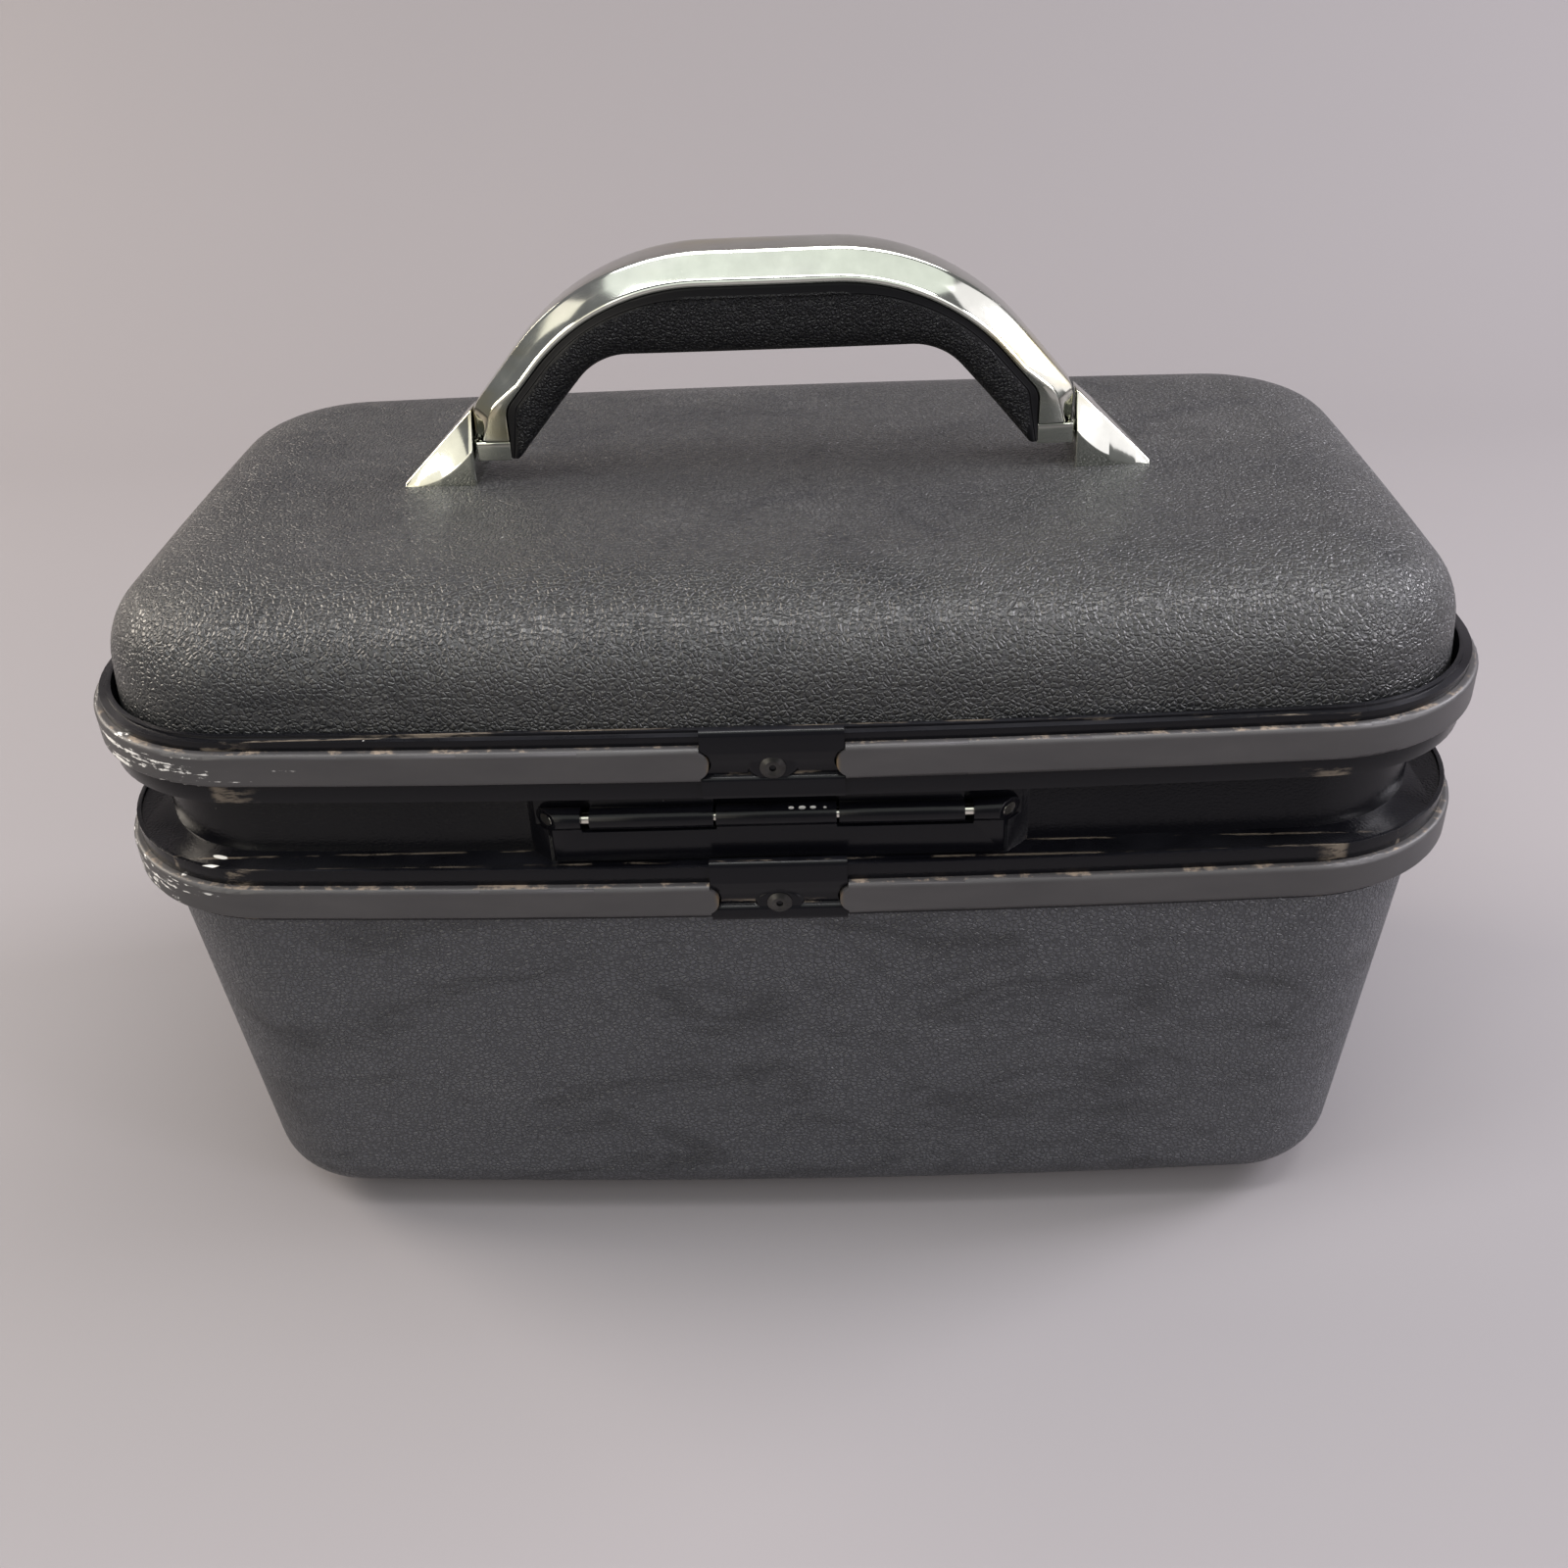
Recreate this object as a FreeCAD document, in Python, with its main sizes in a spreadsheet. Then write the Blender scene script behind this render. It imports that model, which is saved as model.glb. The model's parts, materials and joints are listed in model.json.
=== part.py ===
"""Makeup train case: hinged lid, tapered base, swinging handle, two slide latches, lift-out tray.

Millimetres, +Z up, origin on the floor under the middle of the case.  The hinge side faces -Y and the
latch side faces +Y.  Every ring of the case shares one bowed outline, and `inset` is how far inside the
bumper strip's outer face a wall stands.
"""
import FreeCAD, Part
import Sketcher
import math
import os

SIZES = {
    # outline over the bumper strips
    "case_width": 345.0,
    "case_depth": 192.0,
    "corner_radius": 46.0,
    "bow_radius": 2900.0,
    # heights, stacked from the floor
    "foot_height": 6.0,
    "tub_height": 112.5,
    "lip_height": 1.3,
    "strip_height": 9.2,
    "band_height": 3.8,
    "neck_height": 20.4,
    "lid_lip_height": 5.1,
    "lid_band_height": 2.3,
    "lid_shoulder": 20.7,
    "lid_height": 28.4,
    # rail and shell sections
    "strip_proud": 2.0,
    "groove_depth": 2.0,
    "groove_web": 1.0,
    "ledge_depth": 9.5,
    "neck_wall": 2.2,
    "tray_ledge": 3.3,
    "plate_wall": 2.0,
    "ridge_width": 1.2,
    "ridge_height": 0.7,
    "lip_bevel": 1.0,
    "shell_wall": 2.5,
    "lining_wall": 2.0,
    "base_taper": 5.0,
    "base_roundover": 14.0,
    "lid_taper": 5.0,
    "lid_slope": 70.0,
    "lid_shoulder_round": 20.0,
    "lid_top_round": 52.0,
    "strip_round": 1.2,
    # clearances
    "seat_gap": 0.2,
    "press_gap": 0.1,
    "pin_gap": 0.05,
    "running_gap": 0.35,
    "part_gap": 0.3,
    "overcut": 3.0,
    # seam clips and rivets
    "clip_width": 33.0,
    "clip_notch": 4.0,
    "clip_face": 0.8,
    "clip_dish": 2.0,
    "clip_wall": 1.4,
    "clip_over": 1.5,
    "clip_under": 0.4,
    "clip_hook": 0.9,
    "clip_edge": 0.5,
    "clip_slope": 1.6,
    "clip_boss": 0.5,
    "clip_boss_rim": 0.9,
    "rivet_radius": 3.0,
    "rivet_rim": 0.9,
    "rivet_top": 1.45,
    "rivet_roll": 0.25,
    "rivet_drop": 1.3,
    # hinge
    "hinge_inset": 7.0,
    "hinge_drop": 8.2,
    "barrel_radius": 2.75,
    "pin_radius": 1.5,
    "boss_half": 55.0,
    "leaf_wall": 1.3,
    "middle_knuckle": 14.3,
    "long_knuckle_start": 14.9,
    "long_knuckle_end": 44.5,
    "stub_start": 46.6,
    "leaf_end": 1.0,
    "leaf_rivet_radius": 1.2,
    "leaf_rivet_head": 0.8,
    "plate_rivet_radius": 1.4,
    "rivet_margin": 5.0,
    "plate_rivet_margin": 12.0,
    "plate_rivet_middle": 16.0,
    # feet
    "foot_across": 110.0,
    "foot_along": 58.0,
    "foot_radius": 7.5,
    # handle
    "handle_span": 77.8,
    "handle_rise": 57.8,
    "knee_rise": 19.8,
    "shoulder_half": 45.0,
    "knee_round": 6.0,
    "shoulder_round": 65.0,
    "bail_height": 7.8,
    "bail_leg": 9.2,
    "bail_edge": 3.6,
    "grip_height": 17.7,
    "grip_leg": 14.0,
    "grip_trim": 0.8,
    "grip_round": 17.0,
    "grip_edge": 5.0,
    "grip_tip_rise": 6.5,
    "handle_deep": 22.0,
    "handle_end_deep": 14.0,
    "handle_end_rise": 5.9,
    "handle_end_tall": 5.2,
    "pivot_rise": 8.5,
    "pivot_radius": 1.6,
    "pivot_reach": 4.0,
    "bracket_gap": 0.7,
    "bracket_long": 19.5,
    "bracket_tall": 19.9,
    "bracket_deep": 18.0,
    "bracket_sink": 0.9,
    "screw_radius": 1.7,
    "screw_reach": 6.0,
    "screw_head": 2.0,
    "backing_wall": 1.5,
    # latches
    "latch_across": 84.0,
    "latch_half": 31.0,
    "latch_proud": 7.0,
    "latch_tall": 14.2,
    "hasp_wall": 1.3,
    "hasp_width": 31.0,
    "hasp_barrel": 2.0,
    "bolt_radius": 1.5,
    "latch_travel": 6.0,
    "plug_radius": 3.0,
    "plug_long": 3.4,
    "plug_proud": 0.4,
    "plug_out": 26.0,
    "keyway_wide": 0.8,
    "keyway_tall": 3.2,
    "keyway_deep": 1.2,
    "button_out": 16.0,
    "button_long": 12.0,
    "button_tall": 8.4,
    "button_proud": 2.2,
    "stem_long": 5.0,
    "stem_tall": 4.0,
    "slide_deep": 5.0,
    "slide_tall": 7.0,
    "case_front": 1.5,
    "case_end": 1.7,
    "pocket_start": 1.0,
    "pocket_tall": 8.0,
    "bolt_depth": 3.4,
    "tab_wide": 4.0,
    "tab_back": 2.6,
    "tab_low": 3.6,
    "tab_high": 4.0,
    "tab_room": 0.6,
    "tab_swing": 1.8,
    "flap_gap": 0.4,
    "hasp_lift": 0.5,
    "hasp_knuckle": 18.0,
    "hasp_pin_radius": 0.95,
    "hanger_half": 14.0,
    "hanger_wall": 1.2,
    "hanger_back": 0.6,
    "hanger_rivet_in": 4.2,
    "hanger_rivet_out": 7.0,
    "hanger_rivet_radius": 1.2,
    # inside
    "lid_lining_rise": 5.0,
    "lid_lining_shoulder": 26.3,
    "lid_lining_round": 5.0,
    "lid_lining_top_round": 8.0,
    "lining_drop": 4.5,
    "mirror_width": 204.0,
    "mirror_deep": 104.0,
    "mirror_wall": 3.0,
    "bezel_width": 7.0,
    "bezel_lip": 1.5,
    "bezel_round": 12.0,
    "tray_depth": 33.0,
    "tray_rim": 15.0,
    "tray_wall": 2.0,
    "tray_gap": 0.7,
    "tray_wall_out": 51.75,
    "tray_wall_gap": 1.4,
}

DOC = FreeCAD.newDocument("train_case")
SHEET = DOC.addObject("Spreadsheet::Sheet", "sizes")
for row, (alias, number) in enumerate(SIZES.items(), start=1):
    SHEET.set("A%d" % row, alias)
    SHEET.set("B%d" % row, str(number))
    SHEET.setAlias("B%d" % row, alias)
DOC.recompute()


class Size:
    """A length that carries its number and the sheet expression it came from."""

    def __init__(self, value, text):
        self.value = float(value)
        self.text = text

    def _with(self, other, sign, fold, flip=False):
        other = other if isinstance(other, Size) else Size(other, repr(float(other)))
        a, b = (other, self) if flip else (self, other)
        return Size(fold(a.value, b.value), "(%s %s %s)" % (a.text, sign, b.text))

    def __add__(self, other):
        return self._with(other, "+", lambda a, b: a + b)

    def __radd__(self, other):
        return self._with(other, "+", lambda a, b: a + b, True)

    def __sub__(self, other):
        return self._with(other, "-", lambda a, b: a - b)

    def __rsub__(self, other):
        return self._with(other, "-", lambda a, b: a - b, True)

    def __mul__(self, other):
        return self._with(other, "*", lambda a, b: a * b)

    def __rmul__(self, other):
        return self._with(other, "*", lambda a, b: a * b, True)

    def __truediv__(self, other):
        return self._with(other, "/", lambda a, b: a / b)

    def __neg__(self):
        return -1.0 * self


def size(alias):
    return Size(getattr(SHEET, alias), "sizes." + alias)


def tangent(alias):
    """Tangent of an angle in the sheet, given there in degrees."""
    return Size(math.tan(math.radians(getattr(SHEET, alias))), "tan(sizes.%s)" % alias)


def value(number):
    return number.value if isinstance(number, Size) else float(number)


def bind(thing, path, number):
    """Drive one property of an object from the sheet."""
    if isinstance(number, Size):
        thing.setExpression(path, number.text)
    else:
        thing.setExpression(path, repr(float(number)))


def place(thing, x, y, z):
    for axis, number in zip("xyz", (x, y, z)):
        bind(thing, "Placement.Base." + axis, number)
    return thing


def body(name):
    made = DOC.addObject("PartDesign::Body", name)
    made.Label = name
    return made


def plane_sketch(owner, name, role, lift):
    sketch = owner.newObject("Sketcher::SketchObject", name)
    plane = next(f for f in owner.Origin.OriginFeatures if f.Role == role)
    sketch.AttachmentSupport = [(plane, "")]
    sketch.MapMode = "FlatFace"
    bind(sketch, "AttachmentOffset.Base.z", lift)
    return sketch


def fix(sketch, name, kind, where, number):
    """Add one driving constraint and tie it to the sheet."""
    index = sketch.addConstraint(Sketcher.Constraint(kind, *where, value(number)))
    if isinstance(number, Size):
        sketch.renameConstraint(index, name)
        bind(sketch, "Constraints." + name, number)


case_width, case_depth = size("case_width"), size("case_depth")
corner_radius, bow_radius = size("corner_radius"), size("bow_radius")


def add_outline(sketch, inset, tag):
    """Eight tangent arcs: four bowed sides and four corners, all concentric with the strip's face."""
    far_x, far_y = case_width / 2 - bow_radius, case_depth / 2 - bow_radius
    ax, ay = far_x.value, far_y.value
    side, turn = value(bow_radius - inset), value(corner_radius - inset)
    apart = math.hypot(ax, ay)
    rise = math.sqrt((side - turn) ** 2 - apart ** 2 / 4)
    cx, cy = ax / 2 - rise * ay / apart, ay / 2 - rise * ax / apart
    low, high = math.atan2(cy, cx - ax), math.atan2(cy - ay, cx)
    pi = math.pi
    arcs = [(ax, 0, side, -low, low), (cx, cy, turn, low, high),
            (0, ay, side, high, pi - high), (-cx, cy, turn, pi - high, pi - low),
            (-ax, 0, side, pi - low, pi + low), (-cx, -cy, turn, pi + low, pi + high),
            (0, -ay, side, pi + high, 2 * pi - high), (cx, -cy, turn, 2 * pi - high, 2 * pi - low)]
    up = FreeCAD.Vector(0, 0, 1)
    made = [sketch.addGeometry(Part.ArcOfCircle(Part.Circle(FreeCAD.Vector(x, y, 0), up, r), a, b), False)
            for x, y, r, a, b in arcs]
    ties = [Sketcher.Constraint("Tangent", made[i], 2, made[(i + 1) % 8], 1) for i in range(8)]
    ties += [Sketcher.Constraint("PointOnObject", made[i], 3, axis)
             for i, axis in ((0, -1), (4, -1), (2, -2), (6, -2))]
    sketch.addConstraint(ties)
    fix(sketch, tag + "_right", "DistanceX", (-1, 1, made[0], 3), far_x)
    fix(sketch, tag + "_left", "DistanceX", (-1, 1, made[4], 3), -far_x)
    fix(sketch, tag + "_far", "DistanceY", (-1, 1, made[2], 3), far_y)
    fix(sketch, tag + "_near", "DistanceY", (-1, 1, made[6], 3), -far_y)
    for i in range(4):
        fix(sketch, "%s_side_%d" % (tag, i), "Radius", (made[2 * i],), bow_radius - inset)
        fix(sketch, "%s_corner_%d" % (tag, i), "Radius", (made[2 * i + 1],), corner_radius - inset)


def ring_sketch(owner, name, lift, outer, inner=None):
    sketch = plane_sketch(owner, name, "XY_Plane", lift)
    add_outline(sketch, outer, "outer")
    if inner is not None:
        add_outline(sketch, inner, "inner")
    return sketch


def pad(owner, sketch, length, reverse=False, both=False, taper=None, kind="Pad"):
    made = owner.newObject("PartDesign::" + kind, sketch.Name + "_" + kind.lower())
    made.Profile = sketch
    bind(made, "Length", length)
    made.Reversed = reverse
    if both:
        made.SideType = "Symmetric"
    if taper is not None:
        bind(made, "TaperAngle", -taper)
    return made


def ring(owner, name, low, high, outer, inner=None):
    """Pad a ring of the case outline between two heights."""
    return pad(owner, ring_sketch(owner, name, low, outer, inner), high - low)


def ring_cut(owner, name, low, high, outer, inner=None):
    return pad(owner, ring_sketch(owner, name, high, outer, inner), high - low, kind="Pocket")


def add_profile(sketch, points):
    """Closed chain; a point is (across, up) or (across, up, radius, turn) for an arc to the next point."""
    count = len(points)
    chain = []
    for i, point in enumerate(points):
        x0, y0 = value(point[0]), value(point[1])
        x1, y1 = value(points[(i + 1) % count][0]), value(points[(i + 1) % count][1])
        a, b = FreeCAD.Vector(x0, y0, 0), FreeCAD.Vector(x1, y1, 0)
        if len(point) == 2:
            chain.append((sketch.addGeometry(Part.LineSegment(a, b), False), 1, 2))
            continue
        radius, turn = value(point[2]), point[3]
        span = (b - a).Length
        away = math.sqrt(max(radius ** 2 - span ** 2 / 4, 0.0))
        left = FreeCAD.Vector(-(y1 - y0) / span, (x1 - x0) / span, 0)
        centre = (a + b) * 0.5 + left * (away * turn)
        first, last = (a, b) if turn > 0 else (b, a)
        start = math.atan2(first.y - centre.y, first.x - centre.x)
        stop = math.atan2(last.y - centre.y, last.x - centre.x)
        arc = Part.ArcOfCircle(Part.Circle(centre, FreeCAD.Vector(0, 0, 1), radius), start, stop)
        geo = sketch.addGeometry(arc, False)
        chain.append((geo, 1, 2) if turn > 0 else (geo, 2, 1))
    for i, (geo, start, stop) in enumerate(chain):
        after, first = chain[(i + 1) % count][:2]
        sketch.addConstraint(Sketcher.Constraint("Coincident", geo, stop, after, first))
        fix(sketch, "across_%d" % i, "DistanceX", (-1, 1, geo, start), points[i][0])
        fix(sketch, "up_%d" % i, "DistanceY", (-1, 1, geo, start), points[i][1])
        if len(points[i]) == 4:
            fix(sketch, "round_%d" % i, "Radius", (geo,), points[i][2])


def profile(owner, name, role, lift, points):
    sketch = plane_sketch(owner, name, role, lift)
    add_profile(sketch, points)
    return sketch


def fillet(owner, radius, wanted, kind="Fillet"):
    """Round the edges of the body's tip that `wanted` picks."""
    DOC.recompute()
    tip = owner.Tip
    names = ["Edge%d" % (i + 1) for i, edge in enumerate(tip.Shape.Edges) if wanted(edge)]
    made = owner.newObject("PartDesign::" + kind, owner.Name + "_" + kind.lower())
    made.Base = (tip, names)
    bind(made, "Radius" if kind == "Fillet" else "Size", radius)
    return made


def middle(edge):
    return edge.valueAt((edge.FirstParameter + edge.LastParameter) / 2)


def flat_at(height, reach=0.02):
    """Pick edges that lie in the level plane at this height."""
    def wanted(edge):
        points = [v.Point for v in edge.Vertexes] + [middle(edge)]
        return all(abs(p.z - value(height)) < reach for p in points)
    return wanted


def box(name, x, y, z):
    made = DOC.addObject("Part::Box", name)
    for side, (low, high) in zip(("Length", "Width", "Height"), (x, y, z)):
        bind(made, side, high - low)
    return place(made, x[0], y[0], z[0])


TURNS = {"z": FreeCAD.Rotation(), "x": FreeCAD.Rotation(FreeCAD.Vector(0, 1, 0), 90),
         "y": FreeCAD.Rotation(FreeCAD.Vector(1, 0, 0), -90)}


def rod(name, axis, x, y, z, radius, length):
    """Cylinder from its first end along +X, +Y or +Z."""
    made = DOC.addObject("Part::Cylinder", name)
    bind(made, "Radius", radius)
    bind(made, "Height", length)
    made.Placement = FreeCAD.Placement(FreeCAD.Vector(), TURNS[axis])
    return place(made, x, y, z)


def fuse(name, pieces):
    made = DOC.addObject("Part::MultiFuse", name)
    made.Shapes = pieces
    made.Refine = True
    return made


def cut(name, base, tool):
    made = DOC.addObject("Part::Cut", name)
    made.Base, made.Tool = base, tool
    return made


def common(name, first, second):
    made = DOC.addObject("Part::MultiCommon", name)
    made.Shapes = [first, second]
    return made


def group(name, pieces):
    made = DOC.addObject("Part::Compound", name)
    made.Links = pieces
    return made


NODES = []


def node(thing, name):
    thing.Label = name
    NODES.append(thing)
    return thing


# Heights and insets that several pieces share.
shell_low = size("foot_height")
lip_low = shell_low + size("tub_height")
base_strip_low = lip_low + size("lip_height")
base_strip_high = base_strip_low + size("strip_height")
ledge = base_strip_high + size("band_height")
parting = ledge + size("neck_height")
neck_high = parting - size("part_gap")
lid_strip_low = parting + size("lid_lip_height")
lid_strip_high = lid_strip_low + size("strip_height")
lid_frame_high = lid_strip_high + size("lid_band_height")
crown = lid_frame_high + size("lid_height")
plate_wall = size("plate_wall")
seat_gap = size("seat_gap")

band_in = size("strip_proud")
groove_in = band_in + size("groove_depth")
frame_in = groove_in + size("groove_web")
shell_in = frame_in + seat_gap
neck_out = band_in + size("ledge_depth")
neck_in = neck_out + size("neck_wall")
tray_ledge_in = neck_in + size("tray_ledge")
shell_wall, lining_wall = size("shell_wall"), size("lining_wall")
ridge_width, ridge_height = size("ridge_width"), size("ridge_height")
overcut = size("overcut")
press_gap, pin_gap = size("press_gap"), size("pin_gap")
part_gap, running_gap = size("part_gap"), size("running_gap")

lid_flange_high = parting + plate_wall
lid_shell_low = lid_flange_high + seat_gap
base_shell_high = ledge - plate_wall - seat_gap


def tub_form(name, inset, high, low, roundover):
    """Solid base form, widest at the top, with its floor edge rounded."""
    made = body(name)
    pad(made, ring_sketch(made, name + "_outline", high, inset), high - low, reverse=True,
        taper=size("base_taper"))
    fillet(made, roundover, flat_at(low))
    return made


def lid_form(name, inset, low, shoulder, high, side_round, top_round):
    """Solid lid form: tapered wall, sloped shoulder and flat top, with both turns rounded."""
    made = body(name)
    pad(made, ring_sketch(made, name + "_outline", low, inset), shoulder - low, taper=size("lid_taper"))
    drawn_in = inset + (shoulder - low) * tangent("lid_taper")
    pad(made, ring_sketch(made, name + "_slope", shoulder, drawn_in), high - shoulder,
        taper=size("lid_slope"))
    fillet(made, side_round, flat_at(shoulder))
    fillet(made, top_round, flat_at(high))
    return made


# Base shell, tapered tub of grained moulded sheet, and the fabric lining inside it.
base_outer = tub_form("base_outer_form", shell_in, base_shell_high, shell_low, size("base_roundover"))
base_inner = tub_form("base_inner_form", shell_in + shell_wall, base_shell_high,
                      shell_low + shell_wall, size("base_roundover") - shell_wall)
node(cut("base_shell", base_outer, base_inner), "base_shell")
lining_in = shell_in + shell_wall + seat_gap
lining_low = shell_low + shell_wall + seat_gap
base_lining_out = tub_form("base_lining_out", lining_in, base_shell_high, lining_low,
                           size("base_roundover") - shell_wall - seat_gap)
base_lining_hollow = tub_form("base_lining_hollow", lining_in + lining_wall, base_shell_high,
                              lining_low + lining_wall,
                              size("base_roundover") - shell_wall - seat_gap - lining_wall)
node(cut("base_lining", base_lining_out, base_lining_hollow), "base_lining")

# Base frame: strip groove, ledge, neck wall, hinge boss.
hinge_y = size("hinge_inset") - case_depth / 2
hinge_z = parting - size("hinge_drop")
barrel = size("barrel_radius")
boss_half = size("boss_half")
leaf_wall = size("leaf_wall")
neck_face = neck_out - case_depth / 2
boss_face = hinge_y - seat_gap
trough_back = hinge_y + barrel + running_gap
trough_low = hinge_z - barrel - running_gap

base_frame = body("base_frame_body")
ring(base_frame, "base_band", lip_low, ledge, band_in, frame_in)
ring(base_frame, "base_lip", lip_low, base_strip_low, band_in, frame_in + size("lip_bevel"))
ring(base_frame, "base_ledge", ledge - plate_wall, ledge, band_in, tray_ledge_in)
ring(base_frame, "base_neck", ledge - plate_wall, neck_high, neck_out, neck_in)
ring(base_frame, "base_ridge", ledge - plate_wall, ledge + ridge_height, band_in, band_in + ridge_width)
ring_cut(base_frame, "base_groove", base_strip_low, base_strip_high, band_in - overcut, groove_in)
boss_root = neck_face + size("neck_wall") / 2
boss = profile(base_frame, "hinge_boss", "XY_Plane", ledge - plate_wall,
               [(-boss_half - (boss_root - boss_face), boss_root), (-boss_half, boss_face),
                (boss_half, boss_face), (boss_half + (boss_root - boss_face), boss_root)])
pad(base_frame, boss, neck_high - ledge + plate_wall)
trough = profile(base_frame, "hinge_trough", "YZ_Plane", 0.0,
                 [(boss_face - overcut, trough_low), (trough_back, trough_low),
                  (trough_back, neck_high + overcut), (boss_face - overcut, neck_high + overcut)])
pad(base_frame, trough, boss_half * 3, both=True, kind="Pocket")

# Lid frame: strip groove, double ridge at the top, flange that lies over the neck.
lid_frame = body("lid_frame_body")
ring(lid_frame, "lid_band", parting, lid_frame_high, band_in, frame_in)
ring(lid_frame, "lid_flange", parting, lid_flange_high, band_in, neck_in)
ring(lid_frame, "lid_ridge", lid_frame_high - plate_wall, lid_frame_high + ridge_height,
     frame_in - ridge_width, frame_in)
ring_cut(lid_frame, "lid_groove", lid_strip_low, lid_strip_high, band_in - overcut, groove_in)

# Hinge: base leaf with three knuckles, lid leaf with two, one steel pin, ends mitred with the boss.
web_back = hinge_y + barrel
web_front = web_back - leaf_wall
plate_face = boss_face - leaf_wall
mid, long_a, long_b = size("middle_knuckle"), size("long_knuckle_start"), size("long_knuckle_end")
leaf_end = size("leaf_end")
stub_a = size("stub_start")
stub_b = boss_half + barrel + leaf_end
mitre = body("hinge_mitre")
reach = barrel * 3
pad(mitre, profile(mitre, "mitre_plan", "XY_Plane", 0.0,
                   [(-boss_half - reach, boss_face + reach), (-boss_half + reach, boss_face - reach),
                    (boss_half - reach, boss_face - reach), (boss_half + reach, boss_face + reach)]),
    crown)
bore = rod("hinge_bore", "x", -stub_b, hinge_y, hinge_z, size("pin_radius"), stub_b * 2)
leaf = [box("base_leaf_plate", (leaf_end - boss_half, boss_half - leaf_end), (plate_face, boss_face),
            (ledge + ridge_height + part_gap, trough_low))]
for i, (low, high) in enumerate(((-mid, mid), (stub_a, stub_b), (-stub_b, -stub_a))):
    leaf.append(rod("base_knuckle_%d" % i, "x", low, hinge_y, hinge_z, barrel, high - low))
    leaf.append(box("base_knuckle_web_%d" % i, (low, high), (plate_face, boss_face),
                    (trough_low - leaf_wall, hinge_z)))
leaf_bored = cut("base_leaf_bored", fuse("base_leaf_raw", leaf), bore)
leaf_mitred = common("base_leaf_mitred", leaf_bored, mitre)
pin = rod("hinge_pin_rod", "x", -stub_b, hinge_y, hinge_z, size("pin_radius") - pin_gap, stub_b * 2)
node(common("hinge_pin", pin, mitre), "hinge_pin")

leaf_seat = lid_flange_high
leaf_back = neck_in - case_depth / 2 - part_gap
leaf_top = leaf_seat + leaf_wall
lid_leaf = [box("lid_leaf_plate", (-long_b, long_b), (web_front, leaf_back), (leaf_seat, leaf_top))]
slots = []
for side, (low, high) in (("left", (-long_b, -long_a)), ("right", (long_a, long_b))):
    lid_leaf.append(rod("lid_knuckle_" + side, "x", low, hinge_y, hinge_z, barrel, high - low))
    lid_leaf.append(box("lid_knuckle_web_" + side, (low, high), (web_front, web_back), (hinge_z, leaf_top)))
    slots.append(box("lid_leaf_slot_" + side, (low - part_gap, high + part_gap),
                     (web_front - part_gap, web_back + part_gap), (parting - overcut, leaf_seat + overcut)))
lid_bore = rod("lid_hinge_bore", "x", -stub_b, hinge_y, hinge_z, size("pin_radius") + pin_gap, stub_b * 2)
margin = size("rivet_margin")
hinge_rivets = [rod("hinge_rivet_%d" % i, "z", x, (web_back + leaf_back) / 2, parting,
                    size("leaf_rivet_radius"), leaf_top + size("leaf_rivet_head") - parting)
                for i, x in enumerate((margin - long_b, -long_a - margin, long_a + margin, long_b - margin))]
hinge_rivets = node(group("hinge_lid_rivets", hinge_rivets), "hinge_lid_rivets")
lid_leaf = cut("lid_leaf_bored", fuse("lid_leaf_raw", lid_leaf), lid_bore)
node(cut("hinge_lid_leaf", lid_leaf, hinge_rivets), "hinge_lid_leaf")
blind_y = boss_face - leaf_wall / 2
blind_out, blind_mid = boss_half - size("plate_rivet_margin"), size("plate_rivet_middle")
blind = [rod("leaf_rivet_%d" % i, "y", x, blind_y, (ledge + ridge_height + trough_low) / 2,
             size("plate_rivet_radius"), neck_in - case_depth / 2 - press_gap - blind_y)
         for i, x in enumerate((-blind_out, -blind_mid, blind_mid, blind_out))]
blind = node(group("hinge_base_rivets", blind), "hinge_base_rivets")
node(cut("hinge_base_leaf", leaf_mitred, blind), "hinge_base_leaf")

# Bumper strips: vinyl strips round the grooves, cut back for the seam clips at the hinge side.
clip_half = size("clip_width") / 2
notch = size("clip_notch")


def on_outline(edge):
    """True for an edge on the outermost outline."""
    far_x, far_y = value(case_width) / 2, value(case_depth) / 2
    point = middle(edge)
    if abs(point.x) > far_x - 0.05 or abs(point.y) > far_y - 0.05:
        return True
    return edge.Curve.TypeId == "Part::GeomCircle" and abs(edge.Curve.Radius - value(corner_radius)) < 0.01


def bumper(name, strip_low, strip_high):
    made = body(name)
    low, high = strip_low + press_gap, strip_high - press_gap
    ring(made, name + "_ring", low, high, 0.0, groove_in - press_gap)
    fillet(made, size("strip_round"), lambda e: any(flat_at(h)(e) for h in (low, high)) and on_outline(e))
    centre = (low + high) / 2
    tongue = notch - part_gap
    root = tongue * 0.9
    gap = clip_half + seat_gap
    shape = profile(made, name + "_gap", "XZ_Plane", case_depth / 2 - groove_in - overcut,
                    [(-gap, low - overcut), (gap, low - overcut), (gap, centre - root, tongue, -1),
                     (gap, centre + root), (gap, high + overcut), (-gap, high + overcut),
                     (-gap, centre + root, tongue, -1), (-gap, centre - root)])
    pad(made, shape, groove_in + overcut * 2, kind="Pocket", reverse=True)
    return made


node(bumper("base_bumper_strip", base_strip_low, base_strip_high), "base_bumper_strip")
node(bumper("lid_bumper_strip", lid_strip_low, lid_strip_high), "lid_bumper_strip")


# Seam clips: pressed covers hooked over the rails where the strip ends meet, each with one tube rivet.
def turn(owner, section, name):
    """Revolve a section about its own upright axis."""
    made = owner.newObject("PartDesign::Revolution", name)
    made.Profile = section
    made.ReferenceAxis = (section, ["V_Axis"])
    made.Angle = 360


def from_near_face(inset):
    return inset - case_depth / 2


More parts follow.
